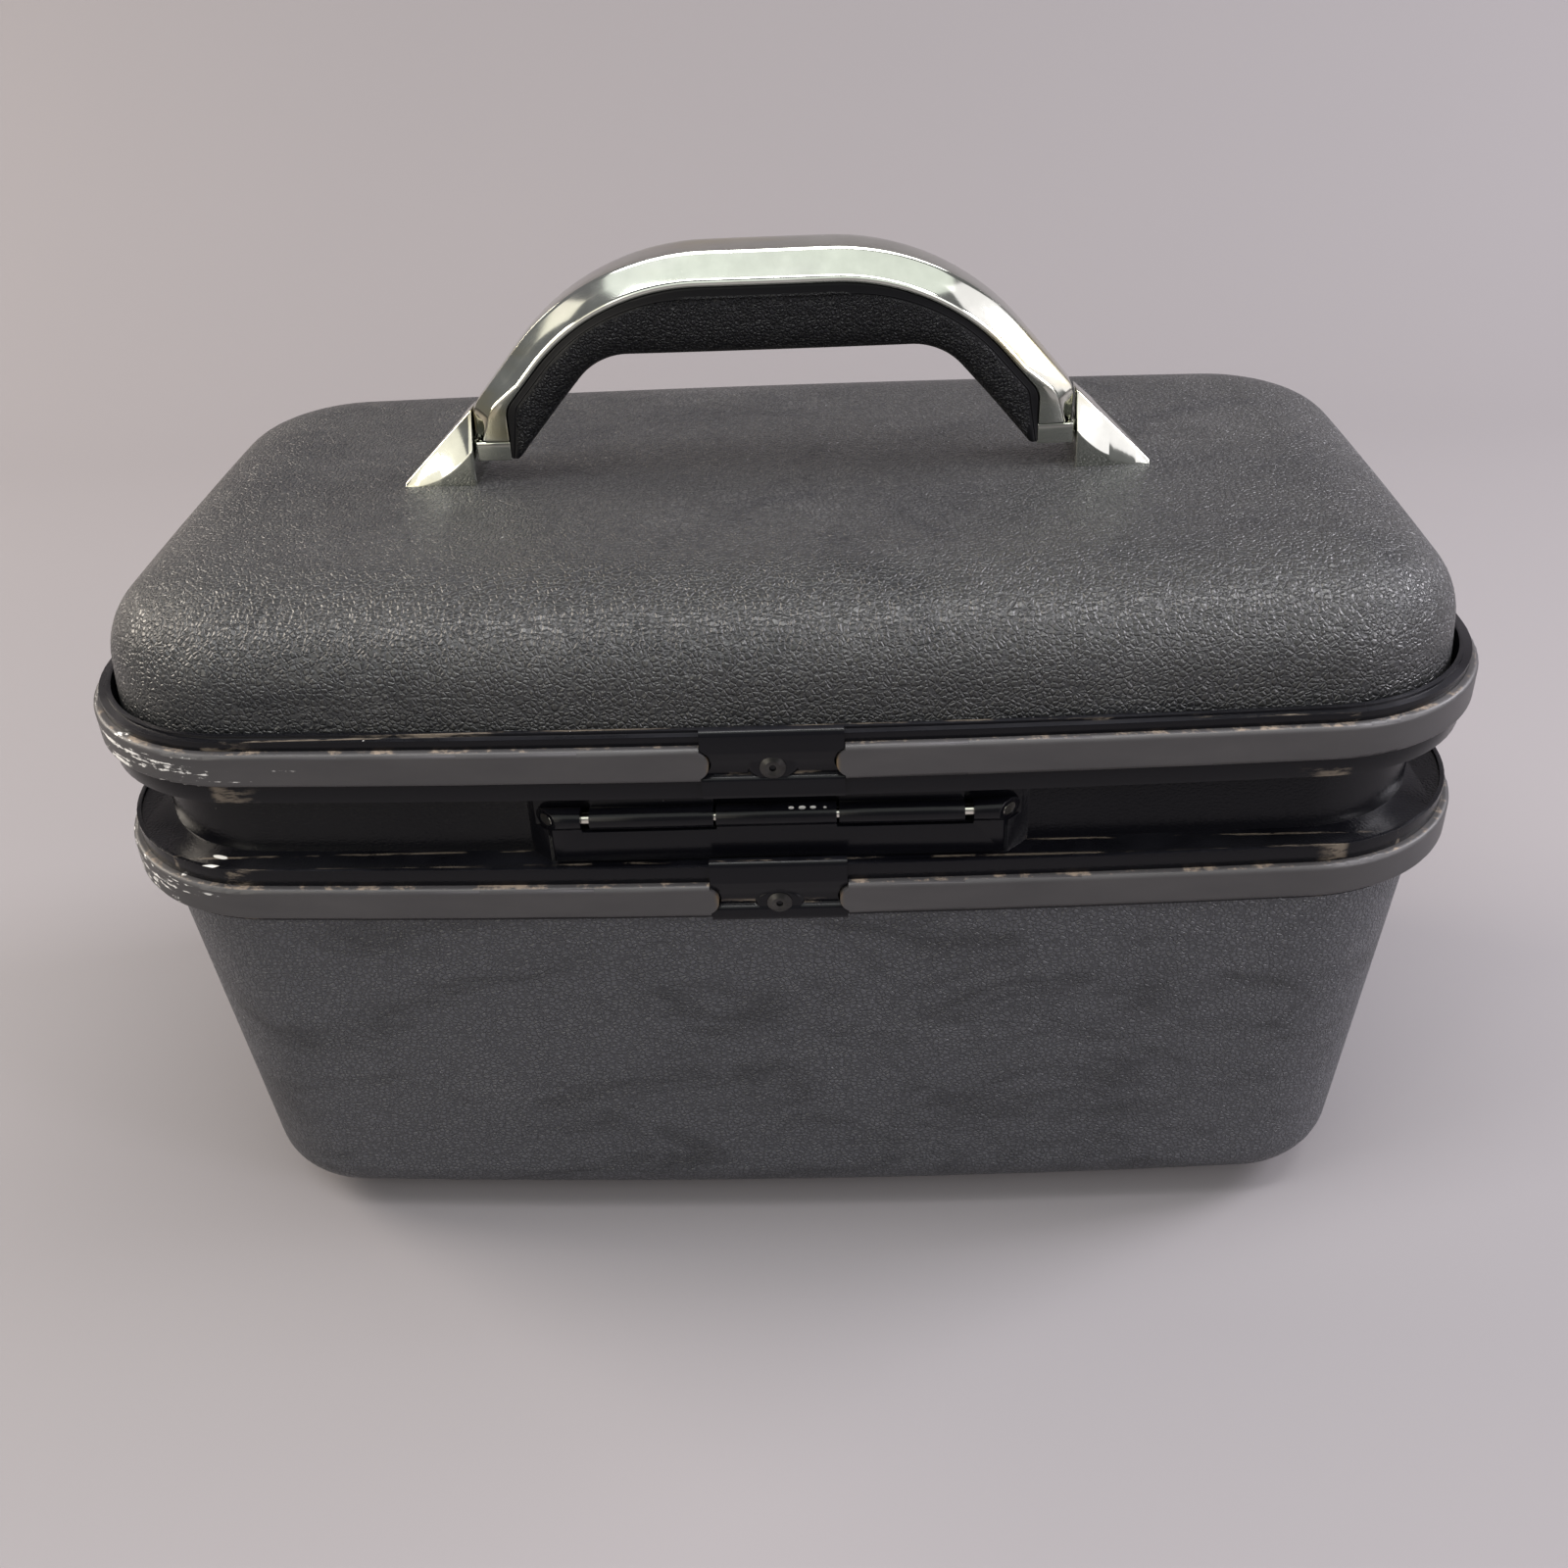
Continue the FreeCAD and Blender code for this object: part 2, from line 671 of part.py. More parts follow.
def clip(name, strip_low, strip_high, low, top, hook_in):
    made = body(name + "_body")
    near, dish = from_near_face(size("clip_face")), from_near_face(size("clip_dish"))
    face, deep = from_near_face(band_in - press_gap), from_near_face(groove_in - press_gap)
    hook, seat = from_near_face(hook_in), top - size("clip_wall")
    edge, slope, step = size("clip_edge"), size("clip_slope"), size("clip_face")
    points = [(face, low), (near, low + edge), (near, strip_low - edge), (dish, strip_low + seat_gap),
              (dish, strip_high - step - slope), (near, strip_high - step), (near, top - slope),
              (dish, top), (hook, top), (hook, seat), (face, seat),
              (face, strip_high - press_gap), (deep, strip_high - press_gap), (deep, strip_low + press_gap),
              (face, strip_low + press_gap)]
    pad(made, profile(made, name + "_section", "YZ_Plane", 0.0, points), clip_half * 2, both=True)
    centre = (strip_low + strip_high) / 2
    for side, x in (("left", -clip_half), ("right", clip_half)):
        sketch = plane_sketch(made, name + "_notch_" + side, "XZ_Plane", case_depth / 2 + overcut)
        circle = Part.Circle(FreeCAD.Vector(value(x), value(centre), 0), FreeCAD.Vector(0, 0, 1), value(notch))
        geo = sketch.addGeometry(circle, False)
        fix(sketch, "across", "DistanceX", (-1, 1, geo, 3), x)
        fix(sketch, "up", "DistanceY", (-1, 1, geo, 3), centre)
        fix(sketch, "notch", "Radius", (geo,), notch)
        pad(made, sketch, groove_in + overcut * 3, kind="Pocket")
    z = centre - size("rivet_drop")
    head, raised = size("rivet_radius"), size("clip_boss")
    tube, mouth = head * 0.55, head * 0.28
    cushion = rod(name + "_cushion", "y", 0.0, dish - raised, z, head + size("clip_boss_rim"), raised)
    hole = rod(name + "_hole", "y", 0.0, dish - overcut, z, tube + pin_gap, groove_in + overcut)
    node(cut(name, fuse(name + "_raised", [made, cushion]), hole), name)
    rivet = body(name + "_rivet")
    tail = dish - deep
    section = profile(rivet, name + "_rivet_section", "XY_Plane", 0.0,
                      [(mouth, tail), (tube, tail), (tube, raised), (head, raised),
                       (head, size("rivet_rim")), (head * 0.62, size("rivet_top")),
                       (mouth, size("rivet_top") - size("rivet_roll"))])
    turn(rivet, section, name + "_rivet_turned")
    rivet.Placement = FreeCAD.Placement(FreeCAD.Vector(), FreeCAD.Rotation(FreeCAD.Vector(0, 0, 1), 180))
    place(rivet, 0.0, dish, z)
    node(rivet, name + "_rivet")


clip("base_seam_clip", base_strip_low, base_strip_high, lip_low - size("clip_under"),
     ledge + ridge_height + size("clip_over"), band_in + ridge_width + size("clip_hook"))
clip("lid_seam_clip", lid_strip_low, lid_strip_high, parting + press_gap,
     lid_frame_high + size("clip_over"), frame_in - ridge_width - seat_gap)

# Feet: four domed studs under the base.
foot_radius, foot_height = size("foot_radius"), size("foot_height")
feet = []
for i, (sx, sy) in enumerate(((-1, -1), (1, -1), (1, 1), (-1, 1))):
    foot = body("foot_%d" % i)
    section = profile(foot, "foot_section_%d" % i, "XZ_Plane", 0.0,
                      [(0.0, 0.0), (foot_radius * 0.6, 0.0, foot_radius * 0.75, 1),
                       (foot_radius, foot_height * 0.6), (foot_radius, foot_height), (0.0, foot_height)])
    turn(foot, section, "foot_turned_%d" % i)
    feet.append(place(foot, size("foot_across") * sx, size("foot_along") * sy, 0.0))
node(group("base_feet", feet), "base_feet")

# Lid shell, pillow-topped, with flat seats for the handle brackets.
SHOULDER_DROP = 0.72
lid_shoulder = lid_frame_high + size("lid_shoulder")
side_round, top_round = size("lid_shoulder_round"), size("lid_top_round")
lid_cavity_high = crown - shell_wall
lid_outer = lid_form("lid_outer_form", shell_in, lid_shell_low, lid_shoulder, crown, side_round, top_round)
lid_inner = lid_form("lid_inner_form", shell_in + shell_wall, lid_shell_low,
                     lid_shoulder - shell_wall * SHOULDER_DROP, lid_cavity_high,
                     side_round - shell_wall, top_round - shell_wall)
lid_hollow = cut("lid_hollow", lid_outer, lid_inner)
bracket_in = size("handle_span") + size("bracket_gap")
bracket_long, bracket_deep = size("bracket_long"), size("bracket_deep")
bracket_out = bracket_in + bracket_long
seat_z = crown - size("bracket_sink")
pivot_z = crown + size("pivot_rise")
screw_radius, screw_head = size("screw_radius"), size("screw_head")
screw_x, screw_y = bracket_in + bracket_long * 0.3, bracket_deep * 0.27
screw_tip = seat_z + size("screw_reach")
plate_z = lid_cavity_high - size("backing_wall")
plate_out = bracket_in + bracket_long * 0.7


def either(side, near, far):
    """Span across one side of the case, measured outboard from the middle."""
    return tuple(sorted((near * side, far * side), key=value))


seats, holes, screws, plates = [], [], [], []
for side, s in (("left", -1), ("right", 1)):
    half = bracket_deep / 2
    seats.append(box("bracket_seat_" + side, either(s, bracket_in - part_gap, bracket_out + part_gap),
                     (-half - part_gap, half + part_gap), (seat_z, crown + overcut)))
    plates.append(box("backing_plate_" + side, either(s, bracket_in, plate_out), (-half, half),
                      (plate_z, lid_cavity_high)))
    for near, t in (("near", -1), ("far", 1)):
        tag = side + "_" + near
        x, y, low = screw_x * s, screw_y * t, plate_z - screw_head
        screws.append(fuse("bracket_screw_" + tag, [
            rod("screw_shank_" + tag, "z", x, y, low, screw_radius, screw_tip - low),
            rod("screw_head_" + tag, "z", x, y, low, screw_radius * 1.8, screw_head)]))
        holes.append(rod("screw_hole_" + tag, "z", x, y, low, screw_radius + press_gap,
                         screw_tip + press_gap - low))
screw_holes = group("screw_holes", holes)
node(cut("lid_shell", lid_hollow, group("lid_shell_cuts", seats + holes)), "lid_shell")
node(cut("handle_backing_plates", group("backing_plates", plates), screw_holes), "handle_backing_plates")
node(group("handle_screws", screws), "handle_screws")

# Lid lining, mirror bezel and mirror.
lid_lining_low = lid_flange_high + size("lid_lining_rise")
lid_lining_high = lid_cavity_high - size("lining_drop")
lining_shoulder = lid_flange_high + size("lid_lining_shoulder")
lining_round, lining_top_round = size("lid_lining_round"), size("lid_lining_top_round")
lid_lining_in = lining_in + (lid_lining_low - lid_shell_low) * tangent("lid_taper")
mirror_high = lid_lining_high - lining_wall
lid_lining_out = lid_form("lid_lining_out", lid_lining_in, lid_lining_low, lining_shoulder, lid_lining_high,
                          lining_round, lining_top_round)
lid_lining_hollow = lid_form("lid_lining_hollow", lid_lining_in + lining_wall, lid_lining_low,
                             lining_shoulder - lining_wall * SHOULDER_DROP, mirror_high,
                             lining_round - lining_wall, lining_top_round - lining_wall)
node(cut("lid_lining", lid_lining_out, lid_lining_hollow), "lid_lining")
mirror_w, mirror_d = size("mirror_width"), size("mirror_deep")
bezel_w, bezel_round = size("bezel_width"), size("bezel_round")
glass_low = mirror_high - size("mirror_wall")
bezel_low = glass_low - size("bezel_lip")


def round_block(name, across, deep, low, high, radius):
    made = body(name)
    a, d = across / 2, deep / 2
    pad(made, profile(made, name + "_plan", "XY_Plane", low, [(-a, -d), (a, -d), (a, d), (-a, d)]), high - low)
    fillet(made, radius, lambda e: abs(e.Vertexes[0].Z - e.Vertexes[-1].Z) > 0.5)
    return made


bezel = round_block("bezel_block", mirror_w + bezel_w, mirror_d + bezel_w, bezel_low, mirror_high, bezel_round)
pocket = round_block("bezel_pocket", mirror_w, mirror_d, glass_low, mirror_high + overcut,
                     bezel_round - bezel_w / 2)
window = round_block("bezel_window", mirror_w - bezel_w, mirror_d - bezel_w, bezel_low - overcut, mirror_high,
                     bezel_round - bezel_w)
node(cut("mirror_bezel", bezel, fuse("bezel_opening", [pocket, window])), "mirror_bezel")
node(round_block("mirror_glass", mirror_w - seat_gap * 2, mirror_d - seat_gap * 2, glass_low, mirror_high,
                 bezel_round - bezel_w / 2 - seat_gap), "mirror_glass")

# Tray: stepped pan hung on the ledge inside the neck, with two cross walls.
tray = body("tray_body")
tray_out = neck_in + size("tray_gap")
tray_low_out = tray_ledge_in + size("tray_gap")
tray_wall = size("tray_wall")
tray_floor = ledge - size("tray_depth")
tray_step = ledge + press_gap
tray_top = ledge + size("tray_rim")
ring(tray, "tray_rim_block", tray_step, tray_top, tray_out)
ring(tray, "tray_pan_block", tray_floor, tray_step, tray_low_out)
ring_cut(tray, "tray_rim_hollow", tray_step + tray_wall, tray_top, tray_out + tray_wall)
ring_cut(tray, "tray_pan_hollow", tray_floor + tray_wall, tray_step + tray_wall, tray_low_out + tray_wall)
tray_half = case_depth / 2 - tray_low_out - tray_wall / 2 - size("tray_wall_gap")
for side, s in (("left", -1), ("right", 1)):
    low, high = either(s, size("tray_wall_out") - tray_wall / 2, size("tray_wall_out") + tray_wall / 2)
    pad(tray, profile(tray, "tray_wall_" + side, "XY_Plane", tray_floor + tray_wall / 2,
                      [(low, -tray_half), (high, -tray_half), (high, tray_half), (low, tray_half)]),
        size("tray_depth") - tray_wall)
node(tray, "tray")

# Handle: chrome bail over a black grip, both cut to one plan that narrows towards the ends.
span, knee, rise = size("handle_span"), size("knee_rise"), size("handle_rise")
lean = (span - size("shoulder_half")) / (rise - knee)
bail_leg, bail_height = size("bail_leg"), size("bail_height")
end_low = size("handle_end_rise")
end_high = end_low + size("handle_end_tall")
grip_tip = size("grip_tip_rise")
knee_round, shoulder_round = size("knee_round"), size("shoulder_round")
deep, end_deep = size("handle_deep"), size("handle_end_deep")


def arch(leg, up):
    """Corner points of the arch, `leg` in from its outer legs and `up` down from its top."""
    top = rise - up
    return span - leg, span - leg - (top - knee) * lean, top


def handle_solid(name, outer, inner, rounds):
    """Arched solid between two chains of points; heights count from the crown of the lid."""
    chain = outer + [(-x, z) for x, z in reversed(outer)] + [(-x, z) for x, z in inner] + inner[::-1]
    made = body(name)
    pad(made, profile(made, name + "_front", "XZ_Plane", 0.0, [(x, crown + z) for x, z in chain]),
        deep + overcut, both=True)
    for spot, radius in rounds:
        x, z = value(spot[0]), value(crown + spot[1])
        fillet(made, radius, lambda e: abs(abs(middle(e).x) - x) < 0.05 and abs(middle(e).z - z) < 0.05
               and abs(e.Vertexes[0].Y - e.Vertexes[-1].Y) > 5)
    return made


def handle_plan(name, trim):
    made = body(name)
    d, e = deep / 2 - trim, end_deep / 2 - trim
    end = span + size("bracket_gap")
    bulge = (end * end + (d - e) * (d - e)) / (2 * (d - e))
    plan = [(end, -e), (end, e, bulge, 1), (-end, e), (-end, -e, bulge, 1)]
    pad(made, profile(made, name + "_plan", "XY_Plane", crown, plan), rise + overcut)
    return made


def soften(name, source, radius, over):
    """Round the long edges on the upper side of an arched solid, or those on its under side."""
    DOC.recompute()
    hub = FreeCAD.Vector(0, 0, value(crown))
    solid = source.Shape.Solids[0]

    def wanted(edge):
        point = middle(edge)
        step = (hub - point).normalize()
        step.y = 0
        inward = FreeCAD.Vector(point.x, point.y * 0.9, point.z) + step
        level = all(abs(v.Z - point.z) < 0.01 for v in edge.Vertexes) and point.z < value(crown + end_high) + 0.1
        beside = abs(point.y) > value(end_deep) / 2 - 1.5
        return beside and not level and edge.Length > 3 and solid.isInside(inward, 0.01, True) == over

    made = DOC.addObject("Part::Fillet", name)
    made.Base = source
    made.Edges = [(i + 1, value(radius), value(radius)) for i, e in enumerate(source.Shape.Edges) if wanted(e)]
    return made


o_leg, o_sh, o_top = arch(0.0, 0.0)
b_leg, b_sh, b_top = arch(bail_leg, bail_height)
g_leg, g_sh, g_top = arch(bail_leg + size("grip_leg"), bail_height + size("grip_height"))
under_round = shoulder_round - bail_height
seam = [((b_leg, knee), knee_round), ((b_sh, b_top), under_round)]
bail_raw = handle_solid("bail_front", [(o_leg, end_high), (o_leg, knee), (o_sh, o_top)],
                        [(b_leg, end_high), (b_leg, knee), (b_sh, b_top)],
                        [((o_leg, knee), knee_round), ((o_sh, o_top), shoulder_round)] + seam)
grip_raw = handle_solid("grip_front", [(b_leg, grip_tip), (b_leg, knee), (b_sh, b_top)],
                        [(g_leg + (knee - grip_tip) * lean, grip_tip), (g_sh, g_top)],
                        seam + [((g_sh, g_top), size("grip_round"))])
bail_cut = common("bail_cut", bail_raw, handle_plan("bail_plan", 0.0))
grip_cut = common("grip_cut", grip_raw, handle_plan("grip_plan", size("grip_trim")))
node(soften("handle_bail", bail_cut, size("bail_edge"), True), "handle_bail")
node(soften("handle_grip", grip_cut, size("grip_edge"), False), "handle_grip")
pivots = []
for side, s in (("left", -1), ("right", 1)):
    lug = box("handle_lug_" + side, either(s, b_leg, o_leg), (-end_deep / 2, end_deep / 2),
              (crown + end_low, crown + end_high))
    low, high = either(s, b_leg + bail_leg * 0.2, bracket_in + size("pivot_reach"))
    pivots.append(rod("pivot_" + side, "x", low, 0.0, pivot_z, size("pivot_radius"), high - low))
    low, high = either(s, b_leg + bail_leg * 0.15, bracket_in)
    hole = rod("pivot_hole_" + side, "x", low, 0.0, pivot_z, size("pivot_radius") + running_gap, high - low)
    node(cut("handle_end_" + side, lug, hole), "handle_end_" + side)
pivots = node(group("handle_pivots", pivots), "handle_pivots")

# Handle brackets: cast gussets lofted from a tall inner face to a low toe.  Each section gives, as shares,
# its place along the bracket, its half width, the heights of bevel and ridge, and the ridge's half width.
BRACKET_SECTIONS = ((0.0, 1.0, 0.53, 1.0, 0.47), (0.42, 0.97, 0.15, 0.60, 0.60), (1.0, 0.9, 0.03, 0.07, 0.78))
tall, half = size("bracket_tall"), bracket_deep / 2
for side, s in (("left", -1), ("right", 1)):
    made = body("bracket_" + side)
    sections = []
    for i, (along, wide, low, high, top) in enumerate(BRACKET_SECTIONS):
        sections.append(profile(made, "bracket_%s_%d" % (side, i), "YZ_Plane",
                                (bracket_in + bracket_long * along) * s,
                                [(half * -wide, seat_z), (half * wide, seat_z), (half * wide, seat_z + tall * low),
                                 (half * top, seat_z + tall * high), (half * -top, seat_z + tall * high),
                                 (half * -wide, seat_z + tall * low)]))
    loft = made.newObject("PartDesign::AdditiveLoft", "bracket_loft_" + side)
    loft.Profile = sections[0]
    loft.Sections = sections[1:]
    drilled = cut("bracket_drilled_" + side, made, group("bracket_holes_" + side, [pivots, screw_holes]))
    node(drilled, "handle_bracket_" + side)

# Latches on the +Y side: case on the neck, sliding bolt, key plug, and a hasp hung from the lid flange.
hasp_wall, hasp_barrel = size("hasp_wall"), size("hasp_barrel")
latch_half, bolt_radius = size("latch_half"), size("bolt_radius")
latch_back = case_depth / 2 - neck_out
case_face = latch_back + size("latch_proud")
latch_high = ledge + size("latch_tall")
hasp_y = case_face - size("hasp_lift")
hasp_z = latch_high + hasp_barrel + size("hasp_lift")
bolt_y, bolt_z = case_face - size("bolt_depth"), ledge + size("latch_tall") * 0.54
pocket_front = case_face - size("case_front")
flap_y = case_face + size("flap_gap")
tab_half, tab_low, tab_high = size("tab_wide") / 2, size("tab_low"), size("tab_high")
tab_mid = latch_half - size("pocket_start") - size("hasp_width") / 2
plug_out, plug_radius = size("plug_out"), size("plug_radius")
stem_half, stem_tall = size("stem_long") / 2, size("stem_tall") / 2
button, button_half, button_tall = size("button_out"), size("button_long") / 2, size("button_tall") / 2
slide_tall, pocket_tall = size("slide_tall") / 2, size("pocket_tall") / 2
button_low = case_face + part_gap
hanger_wall, hanger_half = size("hanger_wall"), size("hanger_half")
knuckle_half = size("hasp_knuckle") / 2
neck_core = body("neck_core")
ring(neck_core, "neck_core_ring", ledge - overcut, parting, neck_out - pin_gap)
ridge_core = body("ridge_core")
ring(ridge_core, "ridge_core_ring", ledge - overcut, ledge + ridge_height + seat_gap, band_in - overcut,
     band_in + ridge_width + seat_gap)
drills = []
for side, s in (("left", -1), ("right", 1)):
    centre = size("latch_across") * s
    tab = centre - tab_mid * s

    def at(low, high):
        """Span across the latch, measured outboard from its centre."""
        return tuple(sorted((centre + low * s, centre + high * s), key=value))

    def label(word):
        return "%s_%s" % (word, side)

    bore_low, bore_high = at(-tab_mid - tab_half * 2, size("pocket_start") * 2)
    block = box(label("latch_block"), at(-latch_half, latch_half), (latch_back - overcut, case_face),
                (ledge, latch_high))
    cuts = [box(label("tab_slot"), (tab - tab_half - size("tab_room"), tab + tab_half + size("tab_room")),
                (latch_back - overcut, case_face + overcut),
                (bolt_z - tab_low - size("tab_swing"), latch_high + overcut)),
            box(label("bolt_pocket"), at(size("pocket_start"), latch_half - size("case_end")),
                (latch_back - overcut * 2, pocket_front), (bolt_z - pocket_tall, bolt_z + pocket_tall)),
            rod(label("bolt_bore"), "x", bore_low, bolt_y, bolt_z, bolt_radius + running_gap,
                bore_high - bore_low),
            box(label("stem_slot"), at(button - stem_half - size("latch_travel") - running_gap,
                                       button + stem_half + running_gap),
                (pocket_front - size("hasp_lift"), case_face + overcut),
                (bolt_z - stem_tall - running_gap, bolt_z + stem_tall + running_gap)),
            rod(label("plug_bore"), "y", centre + plug_out * s, pocket_front - size("hasp_lift"), bolt_z,
                plug_radius + press_gap, size("case_front") + overcut),
            neck_core, ridge_core]
    node(cut(label("latch_case"), block, fuse(label("latch_cuts"), cuts)), label("latch_case"))

    bolt_low, bolt_high = at(tab_half + size("clip_hook") - tab_mid, button - button_half + hasp_wall)
    slide = [rod(label("bolt"), "x", bolt_low, bolt_y, bolt_z, bolt_radius, bolt_high - bolt_low),
             box(label("slide_block"), at(button - button_half, button + button_half),
                 (case_face - size("slide_deep"), pocket_front - running_gap),
                 (bolt_z - slide_tall, bolt_z + slide_tall)),
             box(label("slide_stem"), at(button - stem_half, button + stem_half),
                 (pocket_front - running_gap, button_low + press_gap), (bolt_z - stem_tall, bolt_z + stem_tall)),
             box(label("slide_button"), at(button - button_half, button + button_half),
                 (button_low, case_face + size("button_proud")), (bolt_z - button_tall, bolt_z + button_tall))]
    node(fuse(label("latch_slide"), slide), label("latch_slide"))

    plug = rod(label("plug"), "y", centre + plug_out * s, case_face + size("plug_proud") - size("plug_long"),
               bolt_z, plug_radius, size("plug_long"))
    key = box(label("keyway"), at(plug_out - size("keyway_wide") / 2, plug_out + size("keyway_wide") / 2),
              (case_face - size("keyway_deep"), case_face + overcut),
              (bolt_z - size("keyway_tall") / 2, bolt_z + size("keyway_tall") / 2))
    node(cut(label("lock_plug"), plug, key), label("lock_plug"))

    knuckle = (tab - knuckle_half, tab + knuckle_half)
    hasp = [box(label("hasp_flap"), (tab - size("hasp_width") / 2, tab + size("hasp_width") / 2),
                (flap_y, flap_y + hasp_wall),
                (ledge + ridge_height + size("hasp_lift"), latch_high + size("flap_gap"))),
            box(label("hasp_neck"), knuckle, (flap_y, flap_y + hasp_wall), (latch_high, hasp_z)),
            rod(label("hasp_knuckle"), "x", knuckle[0], hasp_y, hasp_z, hasp_barrel, size("hasp_knuckle")),
            box(label("hasp_tab"), (tab - tab_half, tab + tab_half), (bolt_y - size("tab_back"), flap_y + press_gap),
                (bolt_z - tab_low, bolt_z + tab_high))]
    openings = [rod(label("hasp_hole"), "x", tab - tab_half * 1.5, bolt_y, bolt_z, bolt_radius + running_gap,
                    tab_half * 3),
                rod(label("hasp_bore"), "x", knuckle[0] - overcut, hasp_y, hasp_z,
                    size("hasp_pin_radius") + running_gap, size("hasp_knuckle") + overcut * 2)]
    node(cut(label("hasp"), fuse(label("hasp_raw"), hasp), group(label("hasp_holes"), openings)), label("hasp"))

    hanger_front = hasp_y + hasp_barrel - size("flap_gap")
    hanger = [box(label("hanger_plate"), (tab - hanger_half, tab + hanger_half),
                  (latch_back + size("hanger_back"), hanger_front), (parting - hanger_wall, parting))]
    ear_in = knuckle_half + size("flap_gap")
    for word, low in (("inner", tab - hanger_half), ("outer", tab + ear_in)):
        ear = (low, low + hanger_half - ear_in)
        hanger.append(rod(label("hanger_%s_knuckle" % word), "x", low, hasp_y, hasp_z, hasp_barrel,
                          hanger_half - ear_in))
        hanger.append(box(label("hanger_%s_ear" % word), ear, (hasp_y - hasp_barrel, hanger_front),
                          (hasp_z, parting - hanger_wall / 2)))
    pin_bore = rod(label("hanger_bore"), "x", tab - hanger_half - overcut, hasp_y, hasp_z,
                   size("hasp_pin_radius") + pin_gap, hanger_half * 2 + overcut * 2)
    rivets = [rod(label("hanger_rivet_%d" % i), "z", tab + size("hanger_rivet_out") * way,
                  case_face - size("hanger_rivet_in"), parting - hanger_wall, size("hanger_rivet_radius"),
                  plate_wall + hanger_wall) for i, way in enumerate((-1, 1))]
    rivets = node(group(label("hanger_rivets"), rivets), label("hanger_rivets"))
    drills.append(rivets)
    node(cut(label("hasp_hanger"), fuse(label("hanger_raw"), hanger),
             group(label("hanger_cuts"), [pin_bore, rivets])), label("hasp_hanger"))
    node(rod(label("hasp_pin"), "x", tab - hanger_half, hasp_y, hasp_z, size("hasp_pin_radius"),
             hanger_half * 2), label("hasp_pin"))

# Frames, drilled for what is riveted to them.
node(cut("base_frame", base_frame, blind), "base_frame")
node(cut("lid_frame", lid_frame, group("lid_frame_cuts", slots + [hinge_rivets] + drills)), "lid_frame")

DOC.recompute()
for thing in DOC.Objects:
    if "Invalid" in thing.State or "Error" in thing.State:
        raise RuntimeError("%s did not recompute" % thing.Name)
for thing in NODES:
    if thing.Shape.isNull() or not thing.Shape.isValid():
        raise RuntimeError("%s has no valid shape" % thing.Label)
os.makedirs("parts", exist_ok=True)
for thing in NODES:
    thing.Shape.exportStep("parts/%s.step" % thing.Label)
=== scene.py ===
# %% [markdown]
# # Dressing a makeup train case
# The CAD pack holds every solid of the case, in metres and in its final place. This lesson keeps those
# solids where they look right, gives each one a finish, and models again the pieces whose real form is
# richer than the solid: lid shell, chrome bail, grip, brackets, seam clips and linings.

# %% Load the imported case
import json
import math
import bpy
from mathutils import Matrix, Vector

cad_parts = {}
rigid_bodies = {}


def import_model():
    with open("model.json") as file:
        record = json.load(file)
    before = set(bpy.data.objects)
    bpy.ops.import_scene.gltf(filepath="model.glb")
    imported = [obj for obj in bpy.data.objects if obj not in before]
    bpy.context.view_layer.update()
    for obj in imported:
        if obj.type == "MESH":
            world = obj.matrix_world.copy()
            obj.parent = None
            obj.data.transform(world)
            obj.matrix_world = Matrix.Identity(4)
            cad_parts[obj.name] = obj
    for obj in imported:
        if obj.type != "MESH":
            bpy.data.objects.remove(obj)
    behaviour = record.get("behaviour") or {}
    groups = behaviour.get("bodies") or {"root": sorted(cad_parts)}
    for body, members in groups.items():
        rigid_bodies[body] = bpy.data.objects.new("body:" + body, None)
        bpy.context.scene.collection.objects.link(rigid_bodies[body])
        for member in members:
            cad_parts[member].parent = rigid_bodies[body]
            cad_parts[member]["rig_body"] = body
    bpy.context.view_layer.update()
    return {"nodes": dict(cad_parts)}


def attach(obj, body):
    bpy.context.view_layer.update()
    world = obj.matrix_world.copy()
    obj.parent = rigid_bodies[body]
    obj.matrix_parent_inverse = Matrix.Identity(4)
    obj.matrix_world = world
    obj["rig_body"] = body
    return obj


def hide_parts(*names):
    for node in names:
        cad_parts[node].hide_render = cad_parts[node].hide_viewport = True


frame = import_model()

MM = 0.001

# %% [markdown]
# ## Camera
# The camera stands where the photographer stood: close to the hinge side, a little right of the middle,
# looking down at about 32 degrees with a slight roll. A Track To constraint could aim it, but leaves no say
# in the roll, so the three axes are worked out from the angles.

# %% Camera
CAMERA_SPOT = Vector((15.531, -399.497, 350.425)) * MM
YAW, PITCH, ROLL = -0.0431, 0.5651, -0.0479
FOCAL_MM, SENSOR_MM = 36.009, 36.0

ahead = Vector((math.sin(YAW) * math.cos(PITCH), math.cos(YAW) * math.cos(PITCH), -math.sin(PITCH)))
level = Vector((math.cos(YAW), -math.sin(YAW), 0.0))
over = level.cross(ahead)
right = level * math.cos(ROLL) + over * math.sin(ROLL)
up = over * math.cos(ROLL) - level * math.sin(ROLL)

bpy.ops.object.camera_add(location=CAMERA_SPOT)
camera = bpy.context.object
camera.matrix_world = Matrix.Translation(CAMERA_SPOT) @ Matrix((right, up, -ahead)).transposed().to_4x4()
camera.data.lens, camera.data.sensor_width = FOCAL_MM, SENSOR_MM
camera.data.clip_start = 0.01
bpy.context.scene.camera = camera
bpy.context.scene.view_settings.view_transform = "Standard"
print("camera at", [round(n, 3) for n in CAMERA_SPOT])

# %% [markdown]
# ## Working by operator
# Operators act on whatever is selected, and loading leaves every CAD node selected. These helpers clear
# the selection, pick faces or edges by a test, add and apply a modifier, and turn a flat grid into a form.

